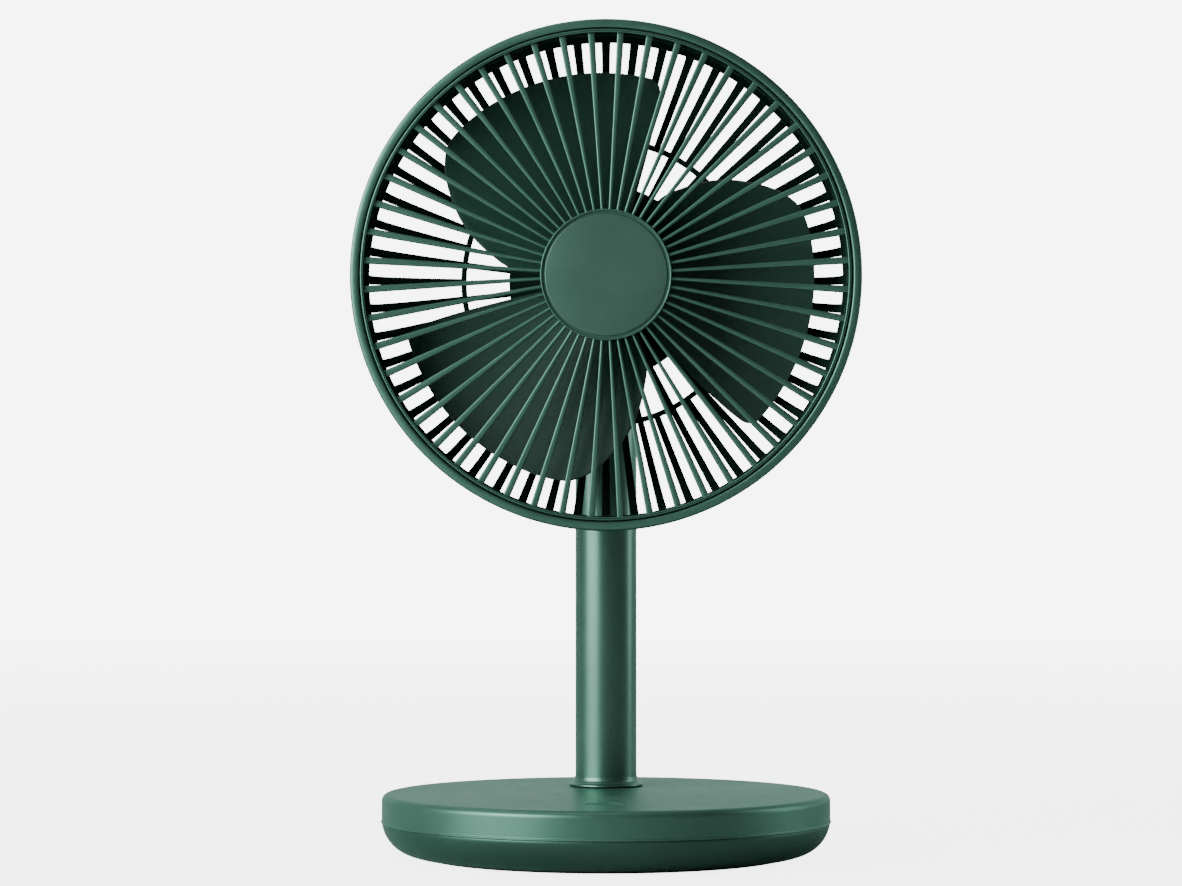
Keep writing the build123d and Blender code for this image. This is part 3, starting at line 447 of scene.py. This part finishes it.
def make_handling():
    """Soft patches and streaks where hands and cloths have polished or dulled a finish."""
    group, given, out = new_group(
        "handling", [("Patch Scale", 22.0), ("Streak Scale", 160.0)], ["Patches", "Streaks"])
    place = object_place(group)
    patches = ease(group, noise(group, place, given.outputs["Patch Scale"], 3.0, 0.55), 0.35, 0.68)
    squeeze = group.nodes.new("ShaderNodeVectorMath")
    squeeze.operation = "MULTIPLY"
    squeeze.inputs[1].default_value = (1.0, 0.22, 1.6)
    group.links.new(place, squeeze.inputs[0])
    marks = noise(group, squeeze.outputs[0], given.outputs["Streak Scale"], 2.0, 0.6)
    group.links.new(patches, out.inputs["Patches"])
    group.links.new(ease(group, marks, 0.45, 0.75), out.inputs["Streaks"])
    return group


def make_edge_wear():
    """Mask of rubbed edges, broken up by grain."""
    group, given, out = new_group("edge_wear", [("Width", 0.0004), ("Amount", 1.0)], ["Mask"])
    bevel = group.nodes.new("ShaderNodeBevel")
    bevel.samples = 4
    group.links.new(given.outputs["Width"], bevel.inputs["Radius"])
    surface = group.nodes.new("ShaderNodeNewGeometry")
    agree = group.nodes.new("ShaderNodeVectorMath")
    agree.operation = "DOT_PRODUCT"
    group.links.new(bevel.outputs["Normal"], agree.inputs[0])
    group.links.new(surface.outputs["Normal"], agree.inputs[1])
    edge = ease(group, math_node(group, "SUBTRACT", 1.0, agree.outputs["Value"]), 0.01, 0.14)
    broken = ease(group, noise(group, object_place(group), 900.0, 3.0, 0.7), 0.42, 0.7)
    mask = math_node(group, "MULTIPLY", edge, math_node(group, "MULTIPLY", broken, given.outputs["Amount"]))
    group.links.new(mask, out.inputs["Mask"])
    return group


def make_dust():
    """Faint settled dust on surfaces that face up."""
    group, given, out = new_group("settled_dust", [("Amount", 0.2)], ["Mask"])
    surface = group.nodes.new("ShaderNodeNewGeometry")
    split = group.nodes.new("ShaderNodeSeparateXYZ")
    group.links.new(surface.outputs["Normal"], split.inputs[0])
    up = ease(group, split.outputs["Z"], 0.55, 1.0)
    cloud = ease(group, noise(group, object_place(group), 60.0, 5.0, 0.65), 0.38, 0.72)
    mask = math_node(group, "MULTIPLY", math_node(group, "MULTIPLY", up, cloud), given.outputs["Amount"])
    group.links.new(mask, out.inputs["Mask"])
    return group


ORANGE_PEEL = make_orange_peel()
HANDLING = make_handling()
EDGE_WEAR = make_edge_wear()
DUST = make_dust()


# ---- finishes ---------------------------------------------------------------------------

DEEP_GREEN = (0.046, 0.118, 0.090)
MID_GREEN = (0.054, 0.134, 0.102)
PALE_GREEN = (0.20, 0.33, 0.28)
DUST_GREY = (0.42, 0.44, 0.42)
GREEN_TINT = (0.62, 1.0, 0.84, 1.0)

FINISHES = {}


def finish_nodes(name):
    """Node tree and shader of a new material, which FINISHES keeps under its name."""
    FINISHES[name] = bpy.data.materials.new(name)
    FINISHES[name].use_nodes = True
    tree = FINISHES[name].node_tree
    shader = next(node for node in tree.nodes if node.type == "BSDF_PRINCIPLED")
    return tree, shader


def lacquer(name, deep, light, metallic, rough, coat=0.0, peel=0.2):
    """Sprayed colour: drift between two shades, worn edges, handled patches, orange peel."""
    tree, shader = finish_nodes(name)
    skin = use_group(tree, ORANGE_PEEL)
    hands = use_group(tree, HANDLING)
    edges = use_group(tree, EDGE_WEAR, amount=0.5)
    settled = use_group(tree, DUST, amount=0.05)
    drift = blend_colour(tree, hands["Patches"], deep, light)
    speckled = blend_colour(tree, math_node(tree, "MULTIPLY", skin["Speckle"], 0.25), drift, light)
    rubbed = blend_colour(tree, edges["Mask"], speckled, PALE_GREEN)
    dusted = blend_colour(tree, settled["Mask"], rubbed, DUST_GREY)
    tree.links.new(dusted, shader.inputs["Base Color"])
    shine = math_node(tree, "MULTIPLY_ADD", hands["Patches"], 0.05, rough)
    shine = math_node(tree, "MULTIPLY_ADD", hands["Streaks"], 0.03, shine)
    shine = math_node(tree, "MULTIPLY_ADD", settled["Mask"], 0.25, shine)
    tree.links.new(shine, shader.inputs["Roughness"])
    shader.inputs["Metallic"].default_value = metallic
    shader.inputs["Specular Tint"].default_value = GREEN_TINT
    shader.inputs["Coat Weight"].default_value = coat
    shader.inputs["Coat Roughness"].default_value = 0.22
    bump(tree, shader, skin["Height"], peel, 0.00006)


def moulded(name, colour, second, rough, grain=1500.0, strength=0.3, wear=0.3, specular=0.5):
    """Injection-moulded plastic or rubber with a spark-eroded grain."""
    tree, shader = finish_nodes(name)
    skin = use_group(tree, ORANGE_PEEL, peel_scale=grain / 3, grain_scale=grain)
    hands = use_group(tree, HANDLING, patch_scale=30.0)
    edges = use_group(tree, EDGE_WEAR, amount=wear, width=0.0003)
    base = blend_colour(tree, hands["Patches"], colour, second)
    pale = tuple(min(1.0, c * 1.8 + 0.02) for c in colour)
    tree.links.new(blend_colour(tree, edges["Mask"], base, pale), shader.inputs["Base Color"])
    shine = math_node(tree, "MULTIPLY_ADD", hands["Patches"], 0.08, rough)
    shine = math_node(tree, "MULTIPLY_ADD", skin["Speckle"], 0.05, shine)
    tree.links.new(shine, shader.inputs["Roughness"])
    shader.inputs["Specular IOR Level"].default_value = specular
    bump(tree, shader, skin["Height"], strength, 0.00005)


def bare_metal(name, colour, dull, rough, metallic=1.0, scale=700.0):
    """Plated, cast or ground metal with tarnish patches and fine scratches."""
    tree, shader = finish_nodes(name)
    skin = use_group(tree, ORANGE_PEEL, peel_scale=scale / 2, grain_scale=scale * 3)
    hands = use_group(tree, HANDLING, patch_scale=90.0, streak_scale=600.0)
    edges = use_group(tree, EDGE_WEAR, amount=0.7, width=0.0003)
    base = blend_colour(tree, hands["Patches"], colour, dull)
    bright = tuple(min(1.0, c * 1.25) for c in colour)
    tree.links.new(blend_colour(tree, edges["Mask"], base, bright), shader.inputs["Base Color"])
    shine = math_node(tree, "MULTIPLY_ADD", hands["Streaks"], 0.14, rough)
    tree.links.new(shine, shader.inputs["Roughness"])
    shader.inputs["Metallic"].default_value = metallic
    bump(tree, shader, skin["Height"], 0.25, 0.00004)


lacquer("satin_green", DEEP_GREEN, MID_GREEN, 0.78, 0.38)
# painted shade: a darker copy of satin_green for the bowl, whose downward-facing sides lie in shade
lacquer("bowl_green_painted_shade", (0.027, 0.072, 0.054), (0.032, 0.082, 0.062), 0.78, 0.42)
lacquer("hub_enamel", (0.044, 0.101, 0.079), (0.050, 0.111, 0.087), 0.6, 0.38, peel=0.12)
lacquer("pole_paint", (0.050, 0.122, 0.094), (0.056, 0.136, 0.104), 0.85, 0.32, coat=0.2)
# painted shade: a near-black copy of the green, without specular, for inner walls of the cage and the
# grille's rim that lie in shade
moulded("cage_painted_shade", (0.008, 0.021, 0.016), (0.010, 0.025, 0.019), 0.6, specular=0.0)
moulded("blade_plastic", (0.015, 0.054, 0.039), (0.018, 0.061, 0.045), 0.5, specular=0.25)
moulded("foot_rubber", (0.012, 0.014, 0.013), (0.02, 0.022, 0.021), 0.75, 2200.0, 0.5, 0.6, 0.25)
moulded("inner_plastic", (0.03, 0.03, 0.03), (0.04, 0.04, 0.04), 0.5)
moulded("bearing_plastic", (0.72, 0.71, 0.66), (0.66, 0.65, 0.6), 0.4)
moulded("cell_wrap", (0.04, 0.16, 0.4), (0.05, 0.18, 0.44), 0.25, 600.0, 0.1)
moulded("board_green", (0.02, 0.13, 0.05), (0.03, 0.16, 0.06), 0.3, 1200.0, 0.15)
moulded("light_window", (0.12, 0.24, 0.19), (0.10, 0.21, 0.16), 0.3, 900.0, 0.1)
moulded("wire_sleeve", (0.25, 0.02, 0.02), (0.2, 0.02, 0.02), 0.45)
bare_metal("zinc_steel", (0.58, 0.58, 0.56), (0.4, 0.4, 0.38), 0.3)
bare_metal("core_steel", (0.3, 0.3, 0.31), (0.2, 0.2, 0.2), 0.42)
bare_metal("cast_alloy", (0.6, 0.6, 0.6), (0.48, 0.48, 0.47), 0.5, scale=1600.0)
bare_metal("copper_wire", (0.72, 0.3, 0.13), (0.5, 0.2, 0.09), 0.3)
bare_metal("magnet_ferrite", (0.09, 0.09, 0.095), (0.06, 0.06, 0.06), 0.6, 0.4)


# ---- head -------------------------------------------------------------------------------


def grille_rib(bm, angle):
    """One flat bar of the grille, wider towards the rim."""
    stations = 9
    start, end = hub_r - 0.3, rim_r + 0.5
    centre = Vector((0, front_y + rib_front + rib_depth / 2, head_z))
    along = Vector((cos(angle), 0, sin(angle)))
    across = Vector((-sin(angle), 0, cos(angle)))
    sections = []
    for station in range(stations):
        share = station / (stations - 1)
        width = rib_w_hub + (rib_w_rim - rib_w_hub) * share
        middle = centre + along * (start + (end - start) * share)
        sections.append([middle + across * a + Vector((0, b, 0)) for a, b in pill(width, rib_depth, 0.42)])
    bar(bm, sections)


def front_grille():
    """Flat grille: tapered bars, the rim they run into and the ringed hub plate."""
    bm = bmesh.new()
    rim = rounded([
        (rim_r, rim_depth, 0.2), (rim_r, 0.0, 0.35), (lip_r, 0.0, 0.45), (lip_r, rim_depth, 0.3),
    ])
    turn(bm, rim, on_head, LARGE)
    skirt_r = hub_r - 1.2
    hub_plate = rounded([
        (0.0, disc_t, 0), (hub_r - hub_bead_w, disc_t, 0.15), (hub_r - hub_bead_w, 0.3, 0.12),
        (hub_r, 0.3, 0.25), (hub_r, rib_front + rib_depth, 0.3), (skirt_r, rib_front + rib_depth, 0.2),
        (skirt_r, disc_t + plate_t, 0.2), (0.0, disc_t + plate_t, 0),
    ], hold=0.2)
    turn(bm, hub_plate, on_head, SMALL)
    for k in range(rib_count):
        grille_rib(bm, pi / 2 + 2 * pi * (k + 0.5) / rib_count)
    grille = piece("grille_front", bm, "head", "satin_green", "front_grille")

    def inner_wall(face, spoke):
        on_rim = (rim_r - 0.2) * MM < spoke.length < (rim_r + 0.15) * MM
        return on_rim and face.normal.dot(spoke.normalized()) < -0.8

    # painted shade on the inner wall of the grille's rim
    paint_shade_on(grille, inner_wall)


def cage_rib(bm, angle, line, w_start, w_end):
    """One bent bar of the cage along a (depth, radius) line."""
    along = Vector((cos(angle), 0, sin(angle)))
    across = Vector((-sin(angle), 0, cos(angle)))
    sections = []
    for i, point in enumerate(line):
        ahead = line[min(i + 1, len(line) - 1)] - line[max(i - 1, 0)]
        ahead.normalize()
        normal = Vector((ahead.y, -ahead.x))
        width = w_start + (w_end - w_start) * i / (len(line) - 1)
        section = []
        for a, b in pill(width, cage_rib_t, 0.75):
            depth = point.x + normal.x * b
            radius = point.y + normal.y * b
            section.append(Vector((0, front_y + depth, head_z)) + along * radius + across * a)
        sections.append(section)
    bar(bm, sections)


def cage_band():
    """Outline of the solid band: flat front, slightly barrelled outside, thick rounded back edge."""
    groove_r = lip_r + 0.4
    outline = [(groove_r, 9.2), (groove_r, 0.9), (lip_r + 0.55, 0.5), (lip_r + 0.9, 0.25)]
    outline += arc_through((lip_r + 1.2, 0.2), (head_r - 1.5, 0.22), (head_r - 0.8, 0.35), 4)
    outline += arc_through((head_r - 0.8, 0.35), (head_r - 0.25, 0.75), (head_r - 0.06, 1.5), 6)
    outline += [(head_r - 0.06, 1.5), (head_r - 0.05, 2.6)]
    back_edge = (wall_r + 2.5, band_depth + 0.2)
    back_top = (wall_r + 1.3, band_depth + 1.0)
    outline += arc_through((head_r, 5.0), (head_r - 0.5, 18.0), back_edge, 14)
    outline += arc_through(back_edge, (wall_r + 2.0, band_depth + 0.8), back_top, 3)
    outline += arc_through(back_top, (wall_r + 0.3, band_depth + 0.7), (wall_r, band_depth + 0.1), 3)
    outline += [(wall_r, band_depth), (wall_r, 9.4), (wall_r + 0.2, 9.2)]
    return outline


def rear_cage():
    """Deep cage: solid band, bent bars to the middle ring, every other one on to the motor plate."""
    bm = bmesh.new()
    turn(bm, cage_band(), on_head, LARGE)
    back = cage_rib_t / 2
    at_ring = (ring_front + back, ring_r)
    outer_line = smooth_line([
        (band_depth - 2.0, wall_r + 1.2), (band_depth + 2.0, wall_r + 1.2),
        (38.0 + back * 0.7, 88.2 + back * 0.7), (41.7 + back * 0.9, 82.5 + back * 0.4),
        (46.8 + back, 69.0 + back * 0.3), at_ring,
    ], 6)
    inner_line = smooth_line([at_ring, (50.6 + back, 46.0), (plate_front + back, plate_r - 1.5)], 5)
    for k in range(rib_count):
        angle = pi / 2 + 2 * pi * k / rib_count
        cage_rib(bm, angle, outer_line, cage_rib_w_band, cage_rib_w_ring)
        if k % 2 == 0:
            cage_rib(bm, angle, inner_line, inner_rib_w_ring, inner_rib_w_plate)
    half_w, half_t = 1.05, 1.4
    middle = ring_front + back
    ring = rounded([
        (ring_r - half_w, middle - half_t, 0.6), (ring_r + half_w, middle - half_t, 0.6),
        (ring_r + half_w, middle + half_t, 0.6), (ring_r - half_w, middle + half_t, 0.6),
    ])
    turn(bm, ring, on_head, MIDDLE)
    plate = rounded([
        (plate_hole_r, plate_front, 0.2), (plate_r, plate_front, 0.5),
        (plate_r, plate_front + plate_t, 0.1), (plate_hole_r, plate_front + plate_t, 0.2),
    ])
    turn(bm, plate, on_head, SMALL)
    cage = piece("cage_rear", bm, "head", "satin_green", "rear_cage")

    def inside(face, spoke):
        on_wall = spoke.length < (wall_r + 0.6) * MM
        behind_band = face.center.y > (front_y + band_depth) * MM
        facing_out = face.normal.dot(spoke.normalized()) + 0.8 * face.normal.y
        return (on_wall or behind_band) and facing_out < -0.05

    # painted shade on the inside of the band and the faces behind it that turn inward
    paint_shade_on(cage, inside)


def hub_cap():
    """Slightly domed disc in the middle of the grille."""
    bm = bmesh.new()
    back = disc_t - 0.02
    dome = [(disc_r * share, 0.05 + 0.75 * share**2) for share in (0.0, 0.2, 0.4, 0.6, 0.8, 0.95)]
    dome += arc_through((disc_r - 0.45, 0.78), (disc_r - 0.12, 0.9), (disc_r, 1.12), 5)
    dome += [(disc_r, 1.12), (disc_r, back), (0.0, back)]
    turn(bm, dome, on_head, MIDDLE)
    piece("hub_cap", bm, "head", "hub_enamel", "hub_disc")


def motor_housing():
    """Round cover over the motor at the back of the cage."""
    bm = bmesh.new()
    start = plate_front + plate_t + 0.15
    deep = bracket_low.y - front_y
    inner_r = plate_r - motor_wall
    inner_flat_r = motor_flat_r - motor_wall
    inner_side_depth = motor_side_depth - 1.2
    shell = [(plate_r, start), (plate_r, motor_side_depth)]
    shell += arc_through((plate_r, motor_side_depth), (30.0, 57.5), (motor_flat_r, deep), 14)
    shell += [(motor_flat_r, deep), (12.0, deep), (0.0, deep)]
    shell += [(0.0, deep - motor_wall), (inner_flat_r, deep - motor_wall)]
    shell += arc_through((inner_flat_r, deep - motor_wall), (29.0, 55.3), (inner_r, inner_side_depth), 8)
    shell += [(inner_r, inner_side_depth), (inner_r, start)]
    turn(bm, shell, on_head, SMALL)
    piece("motor_housing", bm, "head", "satin_green", "motor_cover")


# ---- rotor ------------------------------------------------------------------------------


def blade_depth(radius, angle):
    """Depth of the blade's middle surface: a screw with a slight bow across the chord."""
    share = (radius - blade_hub_r) / (blade_tip_r - blade_hub_r)
    middle = root_middle_angle + (tip_middle_angle - root_middle_angle) * share
    bow = blade_bow * (1 - ((angle - middle) / (middle - lead_angle)) ** 2)
    return blade_mid_depth + blade_pitch * (middle - angle) / 360 + bow


def rotor_blades():
    """Three wide screw-shaped blades, from (radius, angle) lines of their two edges."""
    bm = bmesh.new()
    spans, chords = 40, 34
    lead = smooth_line([
        (20.6, 70.0), (40.0, 71.4), (60.0, 72.6), (72.0, 73.6), (77.0, 74.6), (79.2, 77.0),
    ], 8)
    trail = smooth_line([
        (20.6, 178.0), (35.4, 174.7), (44.4, 168.6), (56.3, 160.4), (65.5, 153.0), (73.5, 146.0),
        (78.3, 139.5), (79.3, 131.0),
    ], 8)
    for number in range(blade_count):
        twist = radians(360 / blade_count * number)
        rows = []
        for span in range(spans + 1):
            front, rear = point_on(lead, span / spans), point_on(trail, span / spans)
            row = []
            for chord in range(chords + 1):
                share = chord / chords
                radius = front.x + (rear.x - front.x) * share
                if span == spans:
                    radius = blade_tip_r - 0.1 * abs(2 * share - 1)
                angle = front.y + (rear.y - front.y) * share
                point = on_head(radius, radians(angle) + twist, blade_depth(radius, angle))
                row.append(bm.verts.new(point))
            rows.append(row)
        for near, far in zip(rows, rows[1:]):
            for i in range(chords):
                bm.faces.new((near[i], near[i + 1], far[i + 1], far[i]))
    blades = piece("rotor_blades", bm, "rotor", "blade_plastic", "fan_blade", sharp=60)
    skin = blades.modifiers.new("thickness", "SOLIDIFY")
    skin.thickness = blade_t * MM
    skin.offset = 0
    soft_edge = blades.modifiers.new("soft_edges", "BEVEL")
    soft_edge.width = 0.7 * MM
    soft_edge.segments = 3
    soft_edge.limit_method = "ANGLE"
    soft_edge.angle_limit = radians(50)


def rotor_hub():
    """Cup-shaped hub of the blades, with the socket for the shaft."""
    bm = bmesh.new()
    inner_r = blade_hub_r - 2.0
    floor_depth = hub_front + 3.0
    shaft_r, socket_r = 2.0, 5.0
    hub = rounded([
        (shaft_r, hub_front, 0), (blade_hub_r, hub_front, 4.0), (blade_hub_r, hub_back, 0.5),
        (inner_r, hub_back, 0.5), (inner_r, floor_depth, 2.0), (socket_r, floor_depth, 0.5),
        (socket_r, socket_back, 0.2), (shaft_r, socket_back, 0),
    ])
    turn(bm, hub, on_head, TINY)
    piece("rotor_hub", bm, "rotor", "blade_plastic", "fan_blade")


# ---- pole -------------------------------------------------------------------------------


def pole_tube():
    bm = bmesh.new()
    low, high = tube_low.z, tube_high.z
    bore_r = pole_r - pole_wall
    tube = rounded([(bore_r, low, 0), (pole_r, low, 0.1), (pole_r, high, 0.35), (bore_r, high, 0.1)])
    turn(bm, tube, on_pole, MIDDLE)
    piece("pole_column", bm, "pole", "pole_paint", "pole_tube")


def pole_collar():
    """Ring at the pole's foot: thin flange, then a hollow flare up to the tube."""
    bm = bmesh.new()
    low, high = collar_low.z, collar_high.z
    inner_r = pole_r + 0.01
    flange_top = (collar_r - 0.3, low + 0.85)
    flare_top = (pole_r + 0.3, high - 0.2)
    ring = [(inner_r, low), (collar_r - 0.25, low), (collar_r, low + 0.25)]
    ring += arc_through((collar_r, low + 0.55), (collar_r - 0.09, low + 0.76), flange_top, 4)
    ring += arc_through(flange_top, (pole_r + 0.85, low + 1.7), flare_top, 12)
    ring += [flare_top, (pole_r + 0.2, high), (inner_r, high)]
    turn(bm, ring, on_pole, SMALL)
    piece("pole_foot_collar", bm, "pole", "pole_paint", "pole_collar")


# ---- base -------------------------------------------------------------------------------


def top_openings():
    """Holes for the pole, the key and the row of indicator lights."""
    bm = bmesh.new()
    rounds = [(0.0, pole_y, pole_hole_r), (key_x, key_y, key_r + key_gap)]
    for k in range(light_count):
        rounds.append(((k - (light_count - 1) / 2) * light_step, lights_y, light_hole_r))
    for x, y, radius in rounds:
        bmesh.ops.create_cone(
            bm, cap_ends=True, segments=64, radius1=radius, radius2=radius, depth=6.0,
            matrix=Matrix.Translation((x, y, top_z - 1.0)))
    return bm


def port_opening():
    """Slot with round ends through the wall, just larger than the charging socket."""
    bm = bmesh.new()
    clearance = 0.15
    half_w = (port_high.x - port_low.x) / 2 + clearance
    half_h = (port_high.z - port_low.z) / 2 + clearance
    port_z = (port_low.z + port_high.z) / 2
    ends = []
    for y in (base_r - 6.0, base_r + 4.0):
        slot = []
        for side in (1, -1):
            for step in range(13):
                angle = pi * step / 12 - side * pi / 2
                x = (half_w - half_h) * side + half_h * cos(angle)
                slot.append(Vector((x, y, port_z + half_h * sin(angle))))
        ends.append(slot)
    bar(bm, ends)
    return bm


def base_cover():
    """Upper shell with its rounded top edge and the small bead above the seam."""
    bm = bmesh.new()
    under = top_z - cover_t
    inner_r = base_r - cover_t
    bead_r = base_r + 0.3
    shell = rounded([
        (0.0, top_z, 0), (base_r, top_z, top_edge_r), (base_r, seam_z + 0.75, 0.3),
        (bead_r, seam_z + 0.5, 0.12), (bead_r, seam_z, 0.12), (inner_r, seam_z, 0.1),
        (inner_r, under, 1.0), (0.0, under, 0),
    ])
    turn(bm, shell, on_base, LARGE)
    cover = piece("base_top_shell", bm, "base", "satin_green", "base_cover")
    cut(cover, "top_openings", top_openings())
    cut(cover, "port_opening", port_opening())


def base_bowl():
    """Lower shell: flat floor with a groove for the foot, round sides and the lap inside the cover."""
    bm = bmesh.new()
    floor_z = bowl_floor_z
    groove_z = floor_z + 0.6
    side_start = (75.6, floor_z + 0.3)
    side_end = (base_r - 0.15, bowl_z - 0.4)
    lap_out, lap_in = base_r - 2.6, base_r - 4.0
    outline = [(0.0, floor_z), (groove_in_r - 0.1, floor_z), (groove_in_r, groove_z)]
    outline += [(groove_out_r, groove_z), (groove_out_r + 0.1, floor_z), (73.6, floor_z)]
    outline += arc_through((74.4, floor_z), (75.0, floor_z + 0.12), side_start, 4)
    outline += arc_through(side_start, (81.1, 4.2), side_end, 22)
    outline += [side_end, (base_r - 0.25, bowl_z), (lap_out, bowl_z), (lap_out, lap_z), (lap_in, lap_z)]
    outline += [(lap_in, bowl_z - 1.0)]
    outline += arc_through((lap_in, bowl_z - 1.0), (79.2, 5.9), (73.0, bowl_inside_z), 8)
    outline += [(73.0, bowl_inside_z), (0.0, bowl_inside_z)]
    turn(bm, outline, on_base, LARGE)
    # the bowl takes the darker copy of the green, a painted shade
    piece("base_bowl_shell", bm, "base", "satin_green", "base_bowl", finish="bowl_green_painted_shade", sharp=50)


def rubber_foot():
    """Flat rubber ring in the bowl's groove."""
    bm = bmesh.new()
    inner_r, outer_r = groove_in_r + 0.1, groove_out_r - 0.1
    outline = rounded([
        (inner_r, 0.0, 0.3), (outer_r, 0.0, 0.3), (outer_r, foot_t, 0.1), (inner_r, foot_t, 0.1),
    ])
    turn(bm, outline, on_base, MIDDLE)
    piece("rubber_foot", bm, "base", "foot_rubber", "foot_ring")


def key_cap():
    """Round key with a finger dish, on a flange and a short stem."""
    bm = bmesh.new()
    top = key_high.z
    under = key_flange_z - key_flange_t
    cap = []
    for share in (0.0, 0.2, 0.4, 0.6, 0.8, 0.95):
        cap.append((key_dish_r * share, top - key_dish_depth * (1 - share**2)))
    cap += arc_through((key_r - 0.65, top), (key_r - 0.2, top - 0.18), (key_r, top - 0.6), 5)
    cap += [(key_r, top - 0.6), (key_r, key_flange_z), (key_flange_r, key_flange_z), (key_flange_r, under)]
    cap += [(key_stem_r, under), (key_stem_r, key_stem_z), (0.0, key_stem_z)]
    turn(bm, cap, on_key, TINY)
    piece("key_cap", bm, "key", "satin_green", "power_key")


front_grille()
rear_cage()
hub_cap()
motor_housing()
rotor_blades()
rotor_hub()
pole_tube()
pole_collar()
base_cover()
base_bowl()
rubber_foot()
key_cap()

# the other nodes keep their CAD shape and take the finish of their slot,
# but the screw seen in the groove of the rim is blackened with the painted shade of the cage's inside
for row in frame["record"]["subparts"]:
    node = frame["nodes"][row["node"]]
    finish = FINISHES["cage_painted_shade" if row["node"] == "grille_screw" else row["material_slot"]]
    if node.material_slots:
        for holder in node.material_slots:
            holder.material = finish
    else:
        node.data.materials.append(finish)


# ---- studio, in metres --------------------------------------------------------------------

STUDIO_WHITE = (0.97, 0.985, 1.0, 1.0)


def floor():
    """Plain pale floor that fades into the surround far from the fan."""
    half = 6.0
    mesh = bpy.data.meshes.new("studio_floor")
    corners = [(-half, -half, 0), (half, -half, 0), (half, half, 0), (-half, half, 0)]
    mesh.from_pydata(corners, [], [(0, 1, 2, 3)])
    made = bpy.data.objects.new("studio_floor", mesh)
    bpy.context.scene.collection.objects.link(made)
    tree, shader = finish_nodes("studio_floor")
    tone = ease(tree, noise(tree, object_place(tree), 3.0), 0.2, 0.8)
    pale = blend_colour(tree, tone, (0.46, 0.47, 0.47), (0.49, 0.50, 0.50))
    tree.links.new(pale, shader.inputs["Base Color"])
    shader.inputs["Roughness"].default_value = 0.85
    shader.inputs["Emission Color"].default_value = STUDIO_WHITE
    distance = tree.nodes.new("ShaderNodeVectorMath")
    distance.operation = "LENGTH"
    tree.links.new(object_place(tree), distance.inputs[0])
    far = ease(tree, distance.outputs["Value"], 0.2, 3.0)
    glow = math_node(tree, "MULTIPLY_ADD", far, 2.5, 4.5)
    seen = tree.nodes.new("ShaderNodeLightPath").outputs["Is Camera Ray"]
    tree.links.new(math_node(tree, "MULTIPLY", seen, glow), shader.inputs["Emission Strength"])
    mesh.materials.append(FINISHES["studio_floor"])


def softbox(name, place, aim, width, height, power):
    light = bpy.data.lights.new(name, "AREA")
    light.shape = "RECTANGLE"
    light.size, light.size_y = width, height
    light.energy = power
    made = bpy.data.objects.new(name, light)
    made.location = place
    made.rotation_euler = (Vector(aim) - Vector(place)).to_track_quat("-Z", "Y").to_euler()
    bpy.context.scene.collection.objects.link(made)


def studio_world():
    """Pale surround: it lights the fan more from behind than from in front."""
    world = bpy.data.worlds.new("studio")
    world.use_nodes = True
    tree = world.node_tree
    background = next(node for node in tree.nodes if node.type == "BACKGROUND")
    split = tree.nodes.new("ShaderNodeSeparateXYZ")
    tree.links.new(tree.nodes.new("ShaderNodeTexCoord").outputs["Generated"], split.inputs[0])
    behind = ease(tree, split.outputs["Y"], 0.0, 0.8)
    glow = math_node(tree, "MULTIPLY_ADD", behind, 0.75, 0.1)
    seen = tree.nodes.new("ShaderNodeLightPath").outputs["Is Camera Ray"]
    as_seen = math_node(tree, "MULTIPLY", seen, 7.0)
    as_light = math_node(tree, "MULTIPLY", math_node(tree, "SUBTRACT", 1.0, seen), glow)
    background.inputs["Color"].default_value = STUDIO_WHITE
    tree.links.new(math_node(tree, "ADD", as_seen, as_light), background.inputs["Strength"])
    bpy.context.scene.world = world


def camera():
    """Level with the fan's neck, in front of the grille, on a long lens."""
    gap, drop, pitch = 1.386, 0.0843, 90.88
    data = bpy.data.cameras.new("camera")
    data.sensor_width = 36.0
    data.lens = 113.1
    data.shift_x = -0.0127
    data.clip_end = 50.0
    made = bpy.data.objects.new("camera", data)
    made.location = (0.0, front_y * MM - gap, head_z * MM - drop)
    made.rotation_euler = (radians(pitch), 0.0, 0.0)
    bpy.context.scene.collection.objects.link(made)
    bpy.context.scene.camera = made


floor()
studio_world()
softbox("left_softbox", place=(-1.38, -1.0, 0.66), aim=(0, 0, 0.15), width=1.45, height=1.1, power=76.0)
softbox("top_softbox", place=(-0.3, 0.1, 1.5), aim=(0, 0, 0.1), width=1.2, height=1.2, power=9.0)
softbox("right_rim", place=(1.6, 0.35, 0.6), aim=(0, 0, 0.17), width=0.6, height=1.2, power=10.0)
camera()
